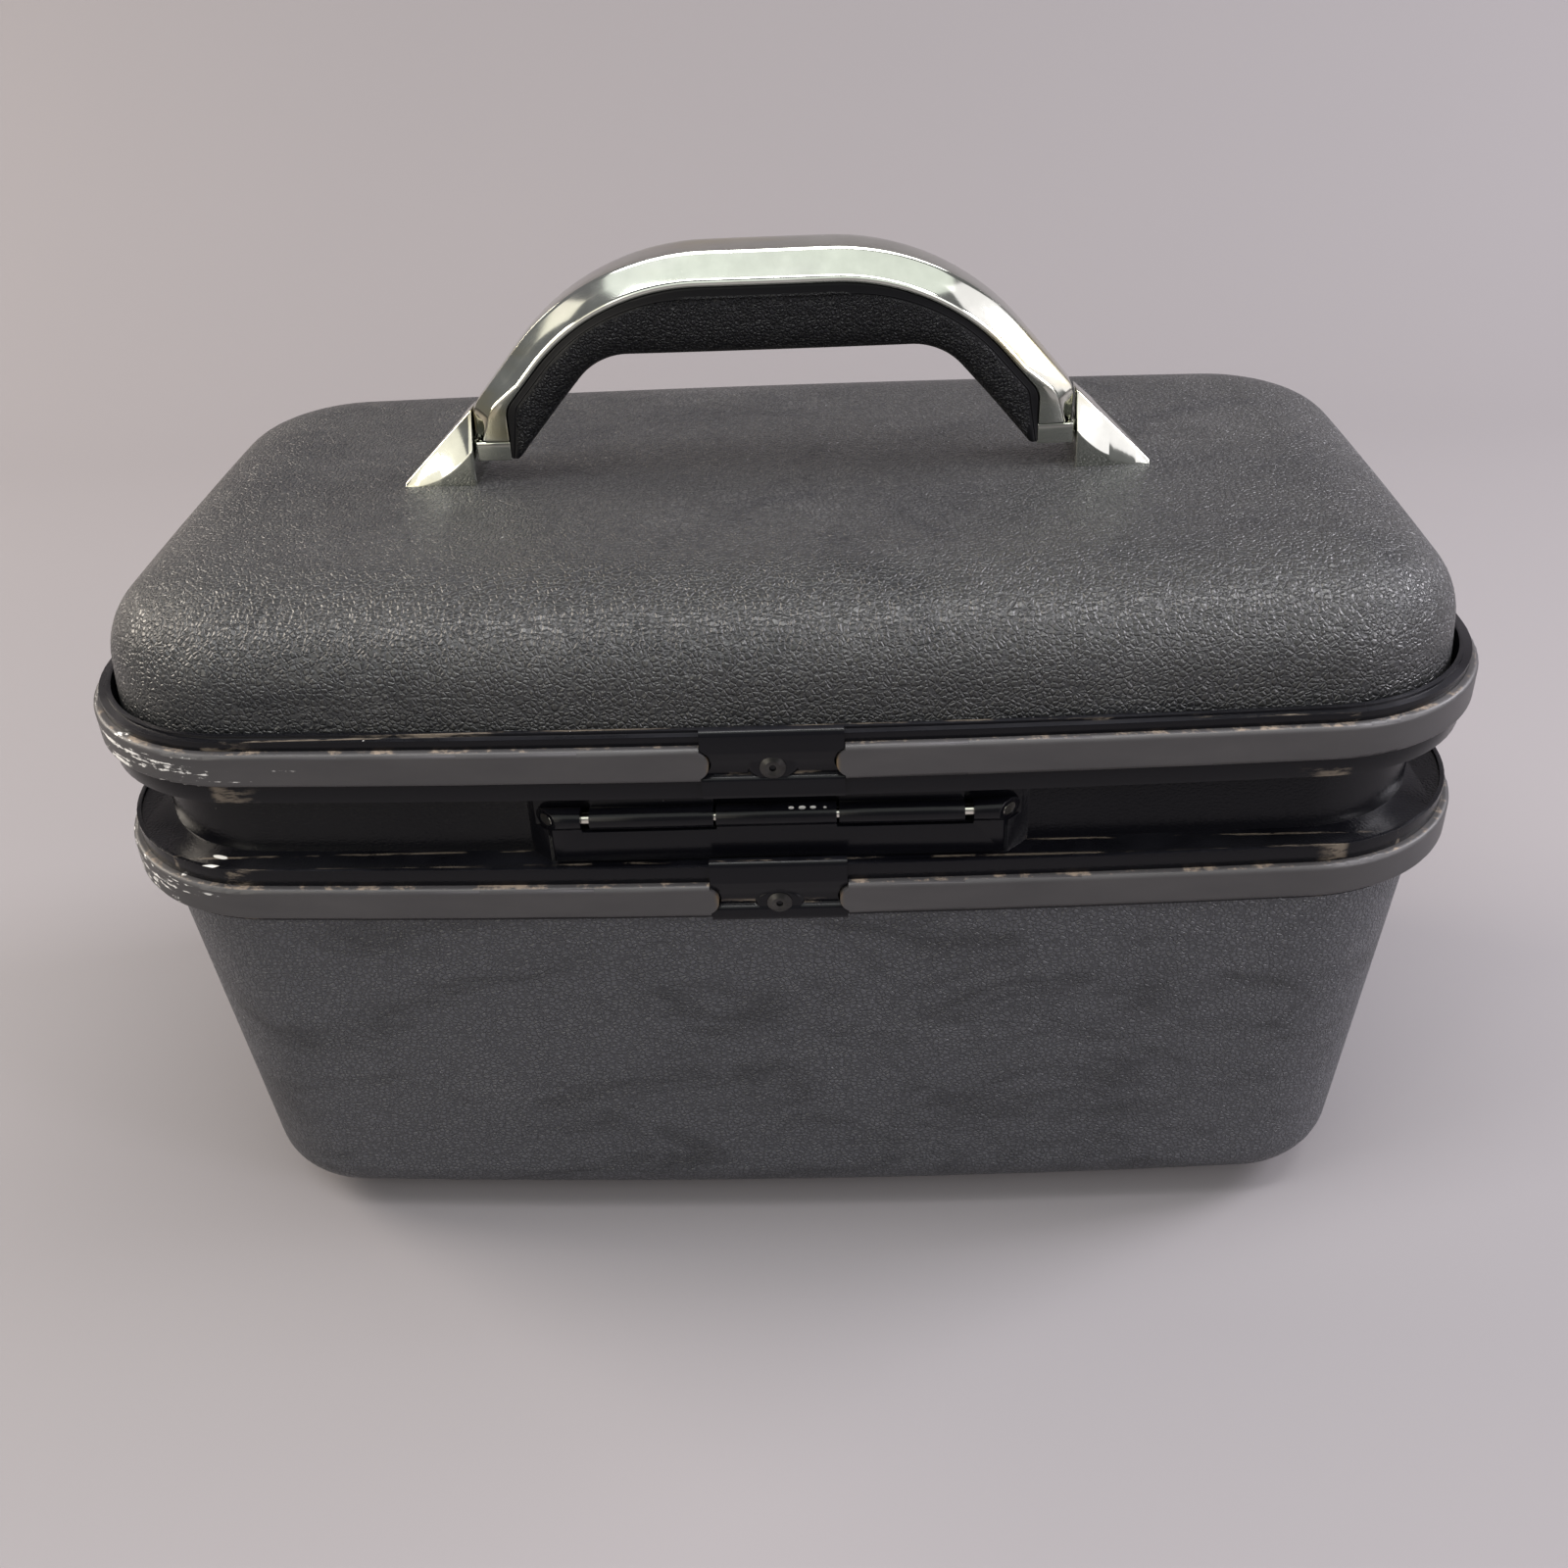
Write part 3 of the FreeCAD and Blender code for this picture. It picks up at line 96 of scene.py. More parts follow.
# %% Modelling helpers
def fresh():
    """Go back to object mode with nothing selected."""
    if bpy.context.object and bpy.context.object.mode != "OBJECT":
        bpy.ops.object.mode_set(mode="OBJECT")
    bpy.ops.object.select_all(action="DESELECT")


def hold(piece):
    """Make one piece the only selected and the active one."""
    fresh()
    piece.select_set(True)
    bpy.context.view_layer.objects.active = piece


def pick(piece, kind, test):
    """Enter edit mode with only the vertices, edges or faces that pass the test selected."""
    hold(piece)
    bpy.ops.object.mode_set(mode="EDIT")
    bpy.ops.mesh.select_mode(type=kind)
    bpy.ops.mesh.select_all(action="DESELECT")
    bpy.ops.object.mode_set(mode="OBJECT")
    mesh = piece.data
    for item in {"VERT": mesh.vertices, "EDGE": mesh.edges, "FACE": mesh.polygons}[kind]:
        item.select = bool(test(item))
    bpy.ops.object.mode_set(mode="EDIT")


def modify(piece, kind, **settings):
    """Add one modifier, set it up and apply it."""
    hold(piece)
    added = piece.modifiers.new(kind.lower(), kind)
    for key, setting in settings.items():
        setattr(added, key, setting)
    bpy.ops.object.modifier_apply(modifier=added.name)


def weld(piece, gap=1e-6):
    """Merge doubled vertices and turn every face outwards."""
    hold(piece)
    bpy.ops.object.mode_set(mode="EDIT")
    bpy.ops.mesh.select_all(action="SELECT")
    bpy.ops.mesh.remove_doubles(threshold=gap)
    bpy.ops.mesh.normals_make_consistent(inside=False)
    bpy.ops.object.mode_set(mode="OBJECT")


def smooth(piece, degrees=35.0):
    hold(piece)
    bpy.ops.object.shade_smooth_by_angle(angle=math.radians(degrees))


def grid(name, columns, rows, spot):
    """Add a grid and carry each of its points to spot(across, along), both running from 0 to 1."""
    fresh()
    bpy.ops.mesh.primitive_grid_add(x_subdivisions=columns, y_subdivisions=rows, size=1.0)
    piece = bpy.context.object
    piece.name = piece.data.name = name
    for vertex in piece.data.vertices:
        vertex.co = spot(vertex.co.x + 0.5, vertex.co.y + 0.5)
    return piece


def close_ends(piece):
    """Cap every open rim with a face."""
    weld(piece)
    hold(piece)
    bpy.ops.object.mode_set(mode="EDIT")
    bpy.ops.mesh.select_all(action="SELECT")
    bpy.ops.mesh.fill_holes(sides=0)
    bpy.ops.mesh.normals_make_consistent(inside=False)
    bpy.ops.object.mode_set(mode="OBJECT")


def settle(piece, body, slot, finish, *nodes):
    """Hand a finished piece over: its finish, the body it rides on and the CAD nodes it stands for."""
    piece.data.materials.clear()
    piece.data.materials.append(finish.material)
    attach(piece, body)
    if nodes:
        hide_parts(*nodes)
    print("%-28s %6d faces on %s" % (piece.name, len(piece.data.polygons), body))


BODY_OF = {name: node["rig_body"] for name, node in frame["nodes"].items()}
SLOT_OF = {name: node.material_slots[0].material.name for name, node in frame["nodes"].items()}


def paint(finish, *nodes):
    """Give CAD nodes that keep their own shape a finish."""
    for name in nodes:
        frame["nodes"][name].material_slots[0].material = finish.material


def edged(finish, width, *nodes, segments=2):
    """Copy each CAD node, weld its triangles, clear the flat ones and round its sharp edges."""
    for name in nodes:
        piece = bpy.data.objects.new(name + "_edged", frame["nodes"][name].data.copy())
        bpy.context.scene.collection.objects.link(piece)
        hold(piece)
        bpy.ops.mesh.customdata_custom_splitnormals_clear()
        weld(piece)
        bpy.ops.object.mode_set(mode="EDIT")
        bpy.ops.mesh.select_all(action="SELECT")
        bpy.ops.mesh.dissolve_limited(angle_limit=math.radians(0.3))
        bpy.ops.object.mode_set(mode="OBJECT")
        modify(piece, "BEVEL", width=width, segments=segments, limit_method="ANGLE",
               angle_limit=math.radians(32), use_clamp_overlap=True)
        smooth(piece, 40)
        settle(piece, BODY_OF[name], SLOT_OF[name], finish, name)


print("CAD bodies:", sorted(set(BODY_OF.values())))

# %% [markdown]
# ## Finishes as sums
# A finish is a small node tree. `Wire` wraps one socket so that sums on it are written as plain Python and
# become Math nodes, and `Finish.node` makes every other node. Patterns are laid on object coordinates,
# which stay with a piece when its body moves.

# %% Shader helpers
class Wire:
    """One output socket, with arithmetic."""

    def __init__(self, finish, socket):
        self.finish, self.socket = finish, socket

    def sum(self, operation, other, flip=False):
        first, second = (other, self) if flip else (self, other)
        return self.finish.node("ShaderNodeMath", {0: first, 1: second}, operation=operation)

    def __add__(self, other):
        return self.sum("ADD", other)

    def __radd__(self, other):
        return self.sum("ADD", other, True)

    def __sub__(self, other):
        return self.sum("SUBTRACT", other)

    def __rsub__(self, other):
        return self.sum("SUBTRACT", other, True)

    def __mul__(self, other):
        return self.sum("MULTIPLY", other)

    def __rmul__(self, other):
        return self.sum("MULTIPLY", other, True)

    def above(self, level):
        return self.sum("GREATER_THAN", level)

    def size(self):
        return self.sum("ABSOLUTE", 0.0)

    def most(self, other):
        return self.sum("MAXIMUM", other)


def srgb(red, green, blue):
    """Screen colour, 0 to 255, as the linear colour a socket takes."""
    def line(n):
        n /= 255.0
        return n / 12.92 if n <= 0.04045 else ((n + 0.055) / 1.055) ** 2.4
    return (line(red), line(green), line(blue), 1.0)


class Finish:
    """A material under construction round one Principled shader."""

    def __init__(self, name, **constants):
        self.material = bpy.data.materials.new(name)
        self.material.use_nodes = True
        self.tree = self.material.node_tree
        self.shader = self.tree.nodes["Principled BSDF"]
        self.spot = self.node("ShaderNodeTexCoord", out="Object")
        for socket, constant in constants.items():
            self.set(socket.replace("_", " "), constant)

    def node(self, kind, inputs=None, out=0, **settings):
        made = self.tree.nodes.new(kind)
        for key, setting in settings.items():
            setattr(made, key, setting)
        for key, feed in (inputs or {}).items():
            self.feed(made.inputs[key], feed)
        return Wire(self, made.outputs[out])

    def feed(self, socket, value):
        if isinstance(value, Wire):
            self.tree.links.new(value.socket, socket)
        else:
            socket.default_value = value

    def set(self, socket, value):
        self.feed(self.shader.inputs[socket], value)

    def axes(self, at=None):
        """The three coordinates, one wire each."""
        split = self.node("ShaderNodeSeparateXYZ", {0: at or self.spot})
        outputs = split.socket.node.outputs
        return [Wire(self, outputs[i]) for i in range(3)]

    def stretch(self, scale, turn=(0.0, 0.0, 0.0)):
        return self.node("ShaderNodeMapping", {"Vector": self.spot, "Scale": scale, "Rotation": turn})

    def noise(self, scale, detail=3.0, at=None, rough=0.5, twist=0.0):
        return self.node("ShaderNodeTexNoise", {"Vector": at or self.spot, "Scale": scale, "Detail": detail,
                                                "Roughness": rough, "Distortion": twist})

    def cells(self, scale, at=None, feature="F1", out="Distance"):
        return self.node("ShaderNodeTexVoronoi", {"Vector": at or self.spot, "Scale": scale}, out=out,
                         feature=feature)

    def warp(self, scale, reach):
        """Coordinates pushed about by noise, so that cells lose their regular look."""
        push = self.node("ShaderNodeTexNoise", {"Vector": self.spot, "Scale": scale, "Detail": 2.0},
                         out="Color")
        centred = self.node("ShaderNodeVectorMath", {0: push, 1: (0.5, 0.5, 0.5)}, operation="SUBTRACT")
        moved = self.node("ShaderNodeVectorMath", {0: centred, "Scale": reach}, operation="SCALE")
        return self.node("ShaderNodeVectorMath", {0: self.spot, 1: moved}, operation="ADD")

    def ease(self, value, start, end):
        """Smooth step from 0 to 1 as the value goes from start to end, up or down."""
        return self.node("ShaderNodeMapRange", {"Value": value, "From Min": start, "From Max": end},
                         interpolation_type="SMOOTHSTEP")

    def mix(self, share, first, second):
        return self.node("ShaderNodeMix", {0: share, 6: first, 7: second}, out=2, data_type="RGBA")

    def bump(self, height, strength, depth):
        return self.node("ShaderNodeBump", {"Height": height, "Strength": strength, "Distance": depth})

    def specks(self, scale, radius, share, at=None):
        """Scattered dots: a cell keeps its dot if its own random number is under the share."""
        at = at or self.spot
        near = self.cells(scale, at)
        lot = self.axes(self.cells(scale, at, out="Color"))[0]
        return self.ease(near, radius * scale, radius * scale * 0.6) * (1.0 - lot.above(share))

    def facing_up(self):
        """1 where the surface faces the sky, in the piece's own frame."""
        normal = self.node("ShaderNodeTexCoord", out="Normal")
        return self.ease(self.axes(normal)[2], 0.75, 0.98)


print("black 20 of 255 is", round(srgb(20, 20, 20)[0], 4), "as a linear colour")

# %% [markdown]
# ## Grained shell
# Both shells are covered in charcoal leather-grain vinyl with pebbles about a millimetre across. Displaced
# faces could carry them, but would take millions, so the grain is a bump of warped Voronoi cells with finer
# pores on top. Handling left dark streaks and a few white specks, and polished the pebble tops. Painted shade
# darkens the cracks between pebbles and painted highlight lightens the polished tops; the lid's copy is also
# painted darker and the base's lighter, as painted shade and painted light.

# %% Shell leather
PEBBLES, CREASES, PORES = 780.0, 250.0, 2600.0
GRAIN_DEPTH = 0.36 * MM


def shell_leather(name, tone, shade):
    """Grained vinyl; the three grain scales are in cells to the metre."""
    made = Finish(name, Specular_IOR_Level=0.5)
    at = made.warp(330.0, 0.0011)
    pebble = made.ease(made.cells(PEBBLES, at, "DISTANCE_TO_EDGE"), 0.0, 0.26)
    crease = made.ease(made.cells(CREASES, at, "DISTANCE_TO_EDGE"), 0.0, 0.10)
    pores = made.noise(PORES, 2.0)
    height = pebble * 0.62 + crease * 0.30 + pores * 0.22
    cloud = made.noise(26.0, 6.0, made.stretch((0.8, 1.0, 1.7), (0.0, 0.62, 0.2)), 0.66, 0.9)
    streak = made.ease(cloud, 0.46, 0.68)
    worn_and_highlight = made.ease(made.noise(26.0, 4.0, None, 0.6), 0.52, 0.72)
    colour = made.mix(streak, tone, shade)
    # painted shade: the cracks between the pebbles are darkened
    colour = made.mix((1.0 - pebble) * 0.6, colour, srgb(33, 34, 38))
    # painted highlight on the pebble tops in polished patches, which are also made glossier below
    colour = made.mix(worn_and_highlight * pebble * 0.14, colour, srgb(104, 104, 106))
    dust = made.specks(75.0, 0.00034, 0.10).most(made.specks(190.0, 0.00016, 0.07))
    colour = made.mix(dust * 0.75, colour, srgb(205, 205, 202))
    made.set("Base Color", colour)
    made.set("Roughness", 0.43 - pebble * 0.11 - worn_and_highlight * 0.05 + dust * 0.3)
    made.set("Normal", made.bump(height, 1.0, GRAIN_DEPTH))
    return made


# One vinyl in two copies: the lid's is painted darker as painted shade, the base's lighter as painted light.
lid_leather_shaded = shell_leather("lid_leather_shaded", srgb(42, 42, 42), srgb(23, 24, 26))
base_leather_lit = shell_leather("base_leather_lit", srgb(68, 69, 74), srgb(44, 45, 49))
paint(base_leather_lit, "base_shell")
print("leather on the base, and ready for the lid")

# %% [markdown]
# ## Bumper strips
# A grey vinyl strip runs in the groove of each rail. Dust lies along its upper edge, old glue has yellowed
# where its ends reach the seam clip, and the left corners are scuffed white in streaks that run along the
# strip. A UV map could carry the streaks, but noise drawn out in the level plane follows the corner too.

# %% Bumper vinyl
GLUE_FADES, GLUE_FULL = 15.8 * MM, 13.6 * MM


def bumper_vinyl(name, low, high, scuff_from, scuff_to, heavy):
    """Strip between two heights, scuffed from one x to another, all in mm; heavy is the share of scuffs."""
    made = Finish(name, Specular_IOR_Level=0.4)
    x, y, z = made.axes()
    rise = (z - low * MM) * (1.0 / ((high - low) * MM))
    cloud = made.noise(38.0, 4.0, made.stretch((1.0, 1.0, 3.0)), 0.6)
    colour = made.mix(cloud, srgb(46, 45, 47), srgb(66, 64, 65))
    fine = made.noise(900.0, 3.0, made.stretch((0.25, 0.25, 1.0)))
    edge = made.ease(rise, 0.975, 0.992) * made.ease(made.noise(260.0, 5.0, None, 0.65), 0.50, 0.66)
    colour = made.mix(edge * 0.65, colour, srgb(146, 130, 114))
    hinge_side = made.ease(y, 0.0, -0.05)
    patchy = made.ease(made.noise(300.0, 3.0), 0.30, 0.62)
    glue = made.ease(x.size(), GLUE_FADES, GLUE_FULL) * patchy * hinge_side
    colour = made.mix(glue * 0.85, colour, srgb(126, 98, 44))
    zone = made.ease(x, (scuff_to + 22.0) * MM, (scuff_from + 6.0) * MM) * made.ease(y, -0.03, -0.07)
    rubbed = made.noise(120.0, 6.0, made.stretch((0.5, 0.5, 9.0)), 0.7, 0.3)
    chips = made.noise(520.0, 3.0, made.stretch((0.6, 0.6, 1.0)), 0.6)
    level = 0.80 - zone * heavy - made.ease((rise - 0.62).size(), 0.3, 0.0) * 0.03
    scuff = made.ease(rubbed * 0.62 + chips * 0.38 - level, 0.0, 0.03) * zone
    colour = made.mix(scuff, colour, srgb(214, 212, 210))
    dot = made.specks(120.0, 0.00026, 0.07)
    colour = made.mix(dot * 0.8, colour, srgb(206, 204, 200))
    made.set("Base Color", colour)
    made.set("Roughness", 0.40 + cloud * 0.12 + scuff * 0.25 + edge * 0.2)
    made.set("Normal", made.bump(fine * 0.5 + scuff * 0.6, 0.25, 0.00012))
    return made


lid_vinyl = bumper_vinyl("lid_bumper_vinyl", 158.4, 167.4, -160.0, -80.0, 0.248)
base_vinyl = bumper_vinyl("base_bumper_vinyl", 119.9, 128.9, -166.0, -128.0, 0.256)
paint(lid_vinyl, "lid_bumper_strip")
paint(base_vinyl, "base_bumper_strip")
print("vinyl on both strips")

# %% [markdown]
# ## Black rails, clips and hinge
# The rails are enamelled black and softly glossy. Dust settles on whatever faces up and lines the corner
# where the ledge meets the neck; two pale paint marks sit on the ledge near the left corner, and four specks
# on the middle knuckle. The neck has a faint pebble. A painted picture could hold the marks, but soft
# ellipses in object coordinates need no file and stay sharp.

# %% Rail enamel
def rail_enamel(name, grain, marks=(), dusty_lines=()):
    """Black enamel; a mark is (x, y, half length, half width, lean), a dusty line (y, low, high, thick)."""
    made = Finish(name, Specular_IOR_Level=0.24)
    x, y, z = made.axes()
    pebble = made.ease(made.cells(900.0, made.warp(330.0, 0.0009), "DISTANCE_TO_EDGE"), 0.0, 0.3)
    haze = made.noise(24.0, 5.0, None, 0.62)
    lying = made.facing_up()
    film = lying * made.ease(haze, 0.38, 0.75)
    colour = made.mix(film * 0.4, srgb(8, 8, 12), srgb(34, 34, 40))
    for line_y, low, high, thick in dusty_lines:
        across = made.ease((y - line_y * MM).size(), thick * MM, thick * 0.3 * MM)
        band = across * made.ease(z, high * MM, low * MM)
        broken = made.ease(made.noise(70.0, 5.0, made.stretch((1.0, 4.0, 4.0)), 0.68), 0.48, 0.6)
        colour = made.mix(band * broken * 0.4, colour, srgb(140, 128, 114))
    dust = made.specks(95.0, 0.00030, 0.16).most(made.specks(260.0, 0.00013, 0.10))
    colour = made.mix(dust * (0.35 + lying * 0.55), colour, srgb(190, 188, 186))
    for mark_x, mark_y, long, wide, lean in marks:
        dx, dy = x - mark_x * MM, y - mark_y * MM
        along, off = dx * math.cos(lean) + dy * math.sin(lean), dy * math.cos(lean) - dx * math.sin(lean)
        ragged = made.noise(900.0, 3.0) * 0.5 + 0.75
        far = ((along * (1.0 / (long * MM))) * (along * (1.0 / (long * MM)))
               + (off * (1.0 / (wide * MM))) * (off * (1.0 / (wide * MM)))) * ragged
        colour = made.mix(made.ease(far, 1.0, 0.7) * lying, colour, srgb(222, 221, 218))
    made.set("Base Color", colour)
    made.set("Roughness", 0.18 + film * 0.22 + haze * 0.08 + dust * 0.3)
    made.set("Normal", made.bump(pebble * grain + made.noise(1500.0, 2.0) * 0.12, 0.35, 0.00016))
    return made


LEDGE_MARKS = ((-138.5, -83.9, 2.3, 0.75, -0.35), (-139.8, -88.9, 3.0, 0.85, 0.15))
base_enamel = rail_enamel("base_rail_enamel", 0.35, LEDGE_MARKS,
                          ((-84.4, 133.2, 134.2, 0.55), (-90.6, 133.4, 134.6, 0.6)))
lid_enamel = rail_enamel("lid_rail_enamel", 0.10, (), ((-91.0, 170.6, 171.4, 0.5),))
KNUCKLE_MARKS = ((3.6, -90.2, 0.7, 0.4, 0.0), (6.2, -90.2, 0.9, 0.5, 0.0), (8.8, -90.2, 0.8, 0.4, 0.0),
                 (11.6, -90.3, 0.4, 0.3, 0.0))
fitting_enamel = rail_enamel("fitting_enamel", 0.06, KNUCKLE_MARKS)
edged(base_enamel, 0.35 * MM, "base_frame")
edged(lid_enamel, 0.35 * MM, "lid_frame")
edged(fitting_enamel, 0.3 * MM, "hinge_base_leaf", "hinge_lid_leaf")

# %% [markdown]
# ## Metal finishes
# Old chrome is bright but not clean: it has cloudy fingermarks, hairline rubs and small dark pits. Each metal
# could be a material of its own, but they differ only in tone, roughness and pits, so one recipe serves all.
# Only the handle chrome has the gilt and rose tarnish of thin old plating.

# %% Metals
def metal(name, tone, pale, rough, pits, tarnish=0.0):
    made = Finish(name, Metallic=1.0)
    cloud = made.ease(made.noise(60.0, 4.0, None, 0.6), 0.35, 0.75)
    rub = made.noise(1400.0, 2.0, made.stretch((0.12, 1.0, 1.0)))
    pit = made.specks(210.0, 0.00024, pits).most(made.specks(640.0, 0.00009, pits))
    colour = made.mix(cloud, tone, pale)
    if tarnish:
        gilt = made.ease(made.noise(34.0, 3.0, made.stretch((0.5, 1.0, 1.6))), 0.50, 0.70)
        rose = made.ease(made.noise(27.0, 2.0, made.stretch((0.8, 1.3, 1.0), (0.4, 0.2, 0.1))), 0.54, 0.72)
        colour = made.mix(gilt * tarnish, colour, srgb(202, 186, 128))
        colour = made.mix(rose * tarnish * 0.6, colour, srgb(208, 190, 210))
    made.set("Base Color", made.mix(pit * 0.75, colour, srgb(70, 66, 58)))
    made.set("Roughness", rough + cloud * 0.05 + rub * 0.04 + pit * 0.4)
    made.set("Normal", made.bump(1.0 - pit, 0.25, 0.00008))
    return made


chrome = metal("handle_chrome", srgb(188, 190, 182), srgb(206, 208, 200), 0.055, 0.12, 0.5)
latch_chrome = metal("latch_chrome", srgb(205, 205, 203), srgb(226, 226, 224), 0.10, 0.06)
steel = metal("plain_steel", srgb(168, 166, 160), srgb(196, 192, 182), 0.24, 0.10)
pin_steel = metal("pin_steel", srgb(214, 210, 198), srgb(236, 234, 228), 0.16, 0.08)
# painted shade: the seam clip rivets' nickel is darkened far below bare metal
rivet_nickel_shaded = metal("rivet_nickel_shaded", srgb(50, 49, 49), srgb(84, 83, 81), 0.28, 0.16)
paint(steel, "handle_pivots", "handle_screws", "handle_backing_plates", "hinge_lid_rivets",
      "hinge_base_rivets", "hanger_rivets_left", "hanger_rivets_right", "hasp_pin_left", "hasp_pin_right")
paint(pin_steel, "hinge_pin")
paint(rivet_nickel_shaded, "lid_seam_clip_rivet", "base_seam_clip_rivet")
edged(latch_chrome, 0.45 * MM, "latch_case_left", "latch_case_right", "hasp_left", "hasp_right",
      "hasp_hanger_left", "hasp_hanger_right", "latch_slide_left", "latch_slide_right")
edged(latch_chrome, 0.25 * MM, "lock_plug_left", "lock_plug_right")
edged(chrome, 0.5 * MM, "handle_end_left", "handle_end_right", segments=3)

# %% [markdown]
# ## Rubber feet, tray and mirror
# The feet are plain dark rubber. The tray is moulded in smoke-grey plastic with a fine satin texture, and the
# mirror is a silvered plate in a plain frame. The tray and the frame could stay as solids, but their sharp
# edges would catch no light, so they are copied and bevelled.

# %% Moulded pieces
def moulded(name, tone, pale, rough, texture):
    made = Finish(name, Specular_IOR_Level=0.45)
    cloud = made.noise(30.0, 4.0, None, 0.6)
    fine = made.noise(1800.0, 2.0)
    scratch = made.ease(made.noise(160.0, 3.0, made.stretch((1.0, 9.0, 9.0), (0.0, 0.0, 0.5))), 0.66, 0.70)
    made.set("Base Color", made.mix(cloud, tone, pale))
    made.set("Roughness", rough + fine * 0.1 + scratch * 0.12)
    made.set("Normal", made.bump(fine * texture - scratch * 0.15, 0.3, 0.0001))
    return made


foot_rubber = moulded("foot_rubber", srgb(26, 26, 27), srgb(40, 39, 39), 0.62, 1.0)
tray_plastic = moulded("tray_plastic", srgb(112, 113, 116), srgb(130, 131, 133), 0.38, 0.7)
bezel_plastic = moulded("bezel_plastic", srgb(30, 30, 32), srgb(42, 42, 44), 0.32, 0.5)
silvering = Finish("silvered_glass", Metallic=1.0, Coat_Roughness=0.02)
silvering.set("Base Color", silvering.mix(silvering.noise(40.0), srgb(228, 232, 232), srgb(238, 241, 240)))
silvering.set("Roughness", 0.012 + silvering.ease(silvering.noise(70.0, 4.0), 0.6, 0.9) * 0.05)
paint(foot_rubber, "base_feet")
paint(silvering, "mirror_glass")
edged(tray_plastic, 0.7 * MM, "tray", segments=3)
edged(bezel_plastic, 0.8 * MM, "mirror_bezel", segments=3)

# %% [markdown]
# ## Outline of the case
# Every ring of the case is the same bowed rectangle: four shallow side arcs and four corner arcs, drawn in by
# an inset. It could be read off a CAD mesh, but arcs give as many points as a loft needs. The lid skin and
# the linings below are lofted through rings of it.

# %% Case outline
CASE_WIDE, CASE_DEEP, CORNER, BOW = 345.0, 192.0, 46.0, 2900.0


def outline_arcs(inset):
    """The eight arcs of the outline at an inset, in mm: centre x, centre y, radius, first and last angle."""
    far_x, far_y = CASE_WIDE / 2 - BOW, CASE_DEEP / 2 - BOW
    apart = math.hypot(far_x, far_y)
    rise = math.sqrt((BOW - CORNER) ** 2 - apart ** 2 / 4)
    cx, cy = far_x / 2 - rise * far_y / apart, far_y / 2 - rise * far_x / apart
    low, high = math.atan2(cy, cx - far_x), math.atan2(cy - far_y, cx)
    side, turn, half = BOW - inset, CORNER - inset, math.pi
    return [(far_x, 0, side, -low, low), (cx, cy, turn, low, high), (0, far_y, side, high, half - high),
            (-cx, cy, turn, half - high, half - low), (-far_x, 0, side, half - low, half + low),
            (-cx, -cy, turn, half + low, half + high), (0, -far_y, side, half + high, 2 * half - high),
            (cx, -cy, turn, 2 * half - high, 2 * half - low)]


ARC_SHARE = (0.145, 0.075, 0.205, 0.075, 0.145, 0.075, 0.205, 0.075)


def on_outline(inset, turn):
    """Point and outward direction at a turn from 0 to 1 round the outline."""
    turn = turn % 1.0
    for share, (x, y, radius, first, last) in zip(ARC_SHARE, outline_arcs(inset)):
        if turn <= share + 1e-9:
            angle = first + (last - first) * turn / share
            away = Vector((math.cos(angle), math.sin(angle), 0.0))
            return Vector((x, y, 0.0)) + away * radius, away
        turn -= share
    return on_outline(inset, 0.0)


print("outline half width:", round(on_outline(0.0, 0.0)[0].x, 2), "mm")

# %% [markdown]
# ## Lines with rounded corners
# Sections and arches are short lists of corner points. A Bezier curve could smooth them, but `rounded` keeps
# true radii, and two lists with as many corners give lines whose points match, ready to loft between.

# %% Rounded lines and ring lofts
def rounded(points, radii, straight=6, turn=10):
    """Line through 2-D points with the corners between its ends rounded."""
    spots = [Vector(point) for point in points]
    line = [spots[0]]

    def run_to(end):
        start = line[-1].copy()
        line.extend(start.lerp(end, i / straight) for i in range(1, straight + 1))

    for before, corner, after, radius in zip(spots, spots[1:], spots[2:], radii):
        back, on = (before - corner).normalized(), (after - corner).normalized()
        half = back.angle(on) / 2
        centre = corner + (back + on).normalized() * (radius / math.sin(half))
        first = corner + back * (radius / math.tan(half)) - centre
        last = corner + on * (radius / math.tan(half)) - centre
        sweep = first.angle(last)
        run_to(centre + first)
        for i in range(1, turn + 1):
            share = i / turn
            line.append(centre + (first * math.sin((1 - share) * sweep) + last * math.sin(share * sweep))
                        / math.sin(sweep))
    run_to(spots[-1])
    return line


def ring_loft(name, rows, around=360, ripple=None):
    """Loft through rings of the case outline; a row is (inset, z, shrink), all in mm but the shrink."""
    def spot(u, v):
        row = round(v * (len(rows) - 1))
        inset, z, shrink = rows[row]
        point, away = on_outline(inset, u)
        push = ripple(u, row) if ripple else 0.0
        return Vector((point.x * shrink + away.x * push, point.y * shrink + away.y * push, z)) * MM
    piece = grid(name, around, len(rows) - 1, spot)
    weld(piece, 2e-5)
    return piece


print("a right angle rounded:", len(rounded([(0, 0), (10, 0), (10, 10)], [3.0])), "points")

# %% [markdown]
# ## Lid shell
# The lid is a pillow: a wall that leans in, a soft shoulder and a flat top. A subdivided box could give it,
# but would lose the bowed plan, so rows follow the section from rail to middle, and Solidify thickens it.

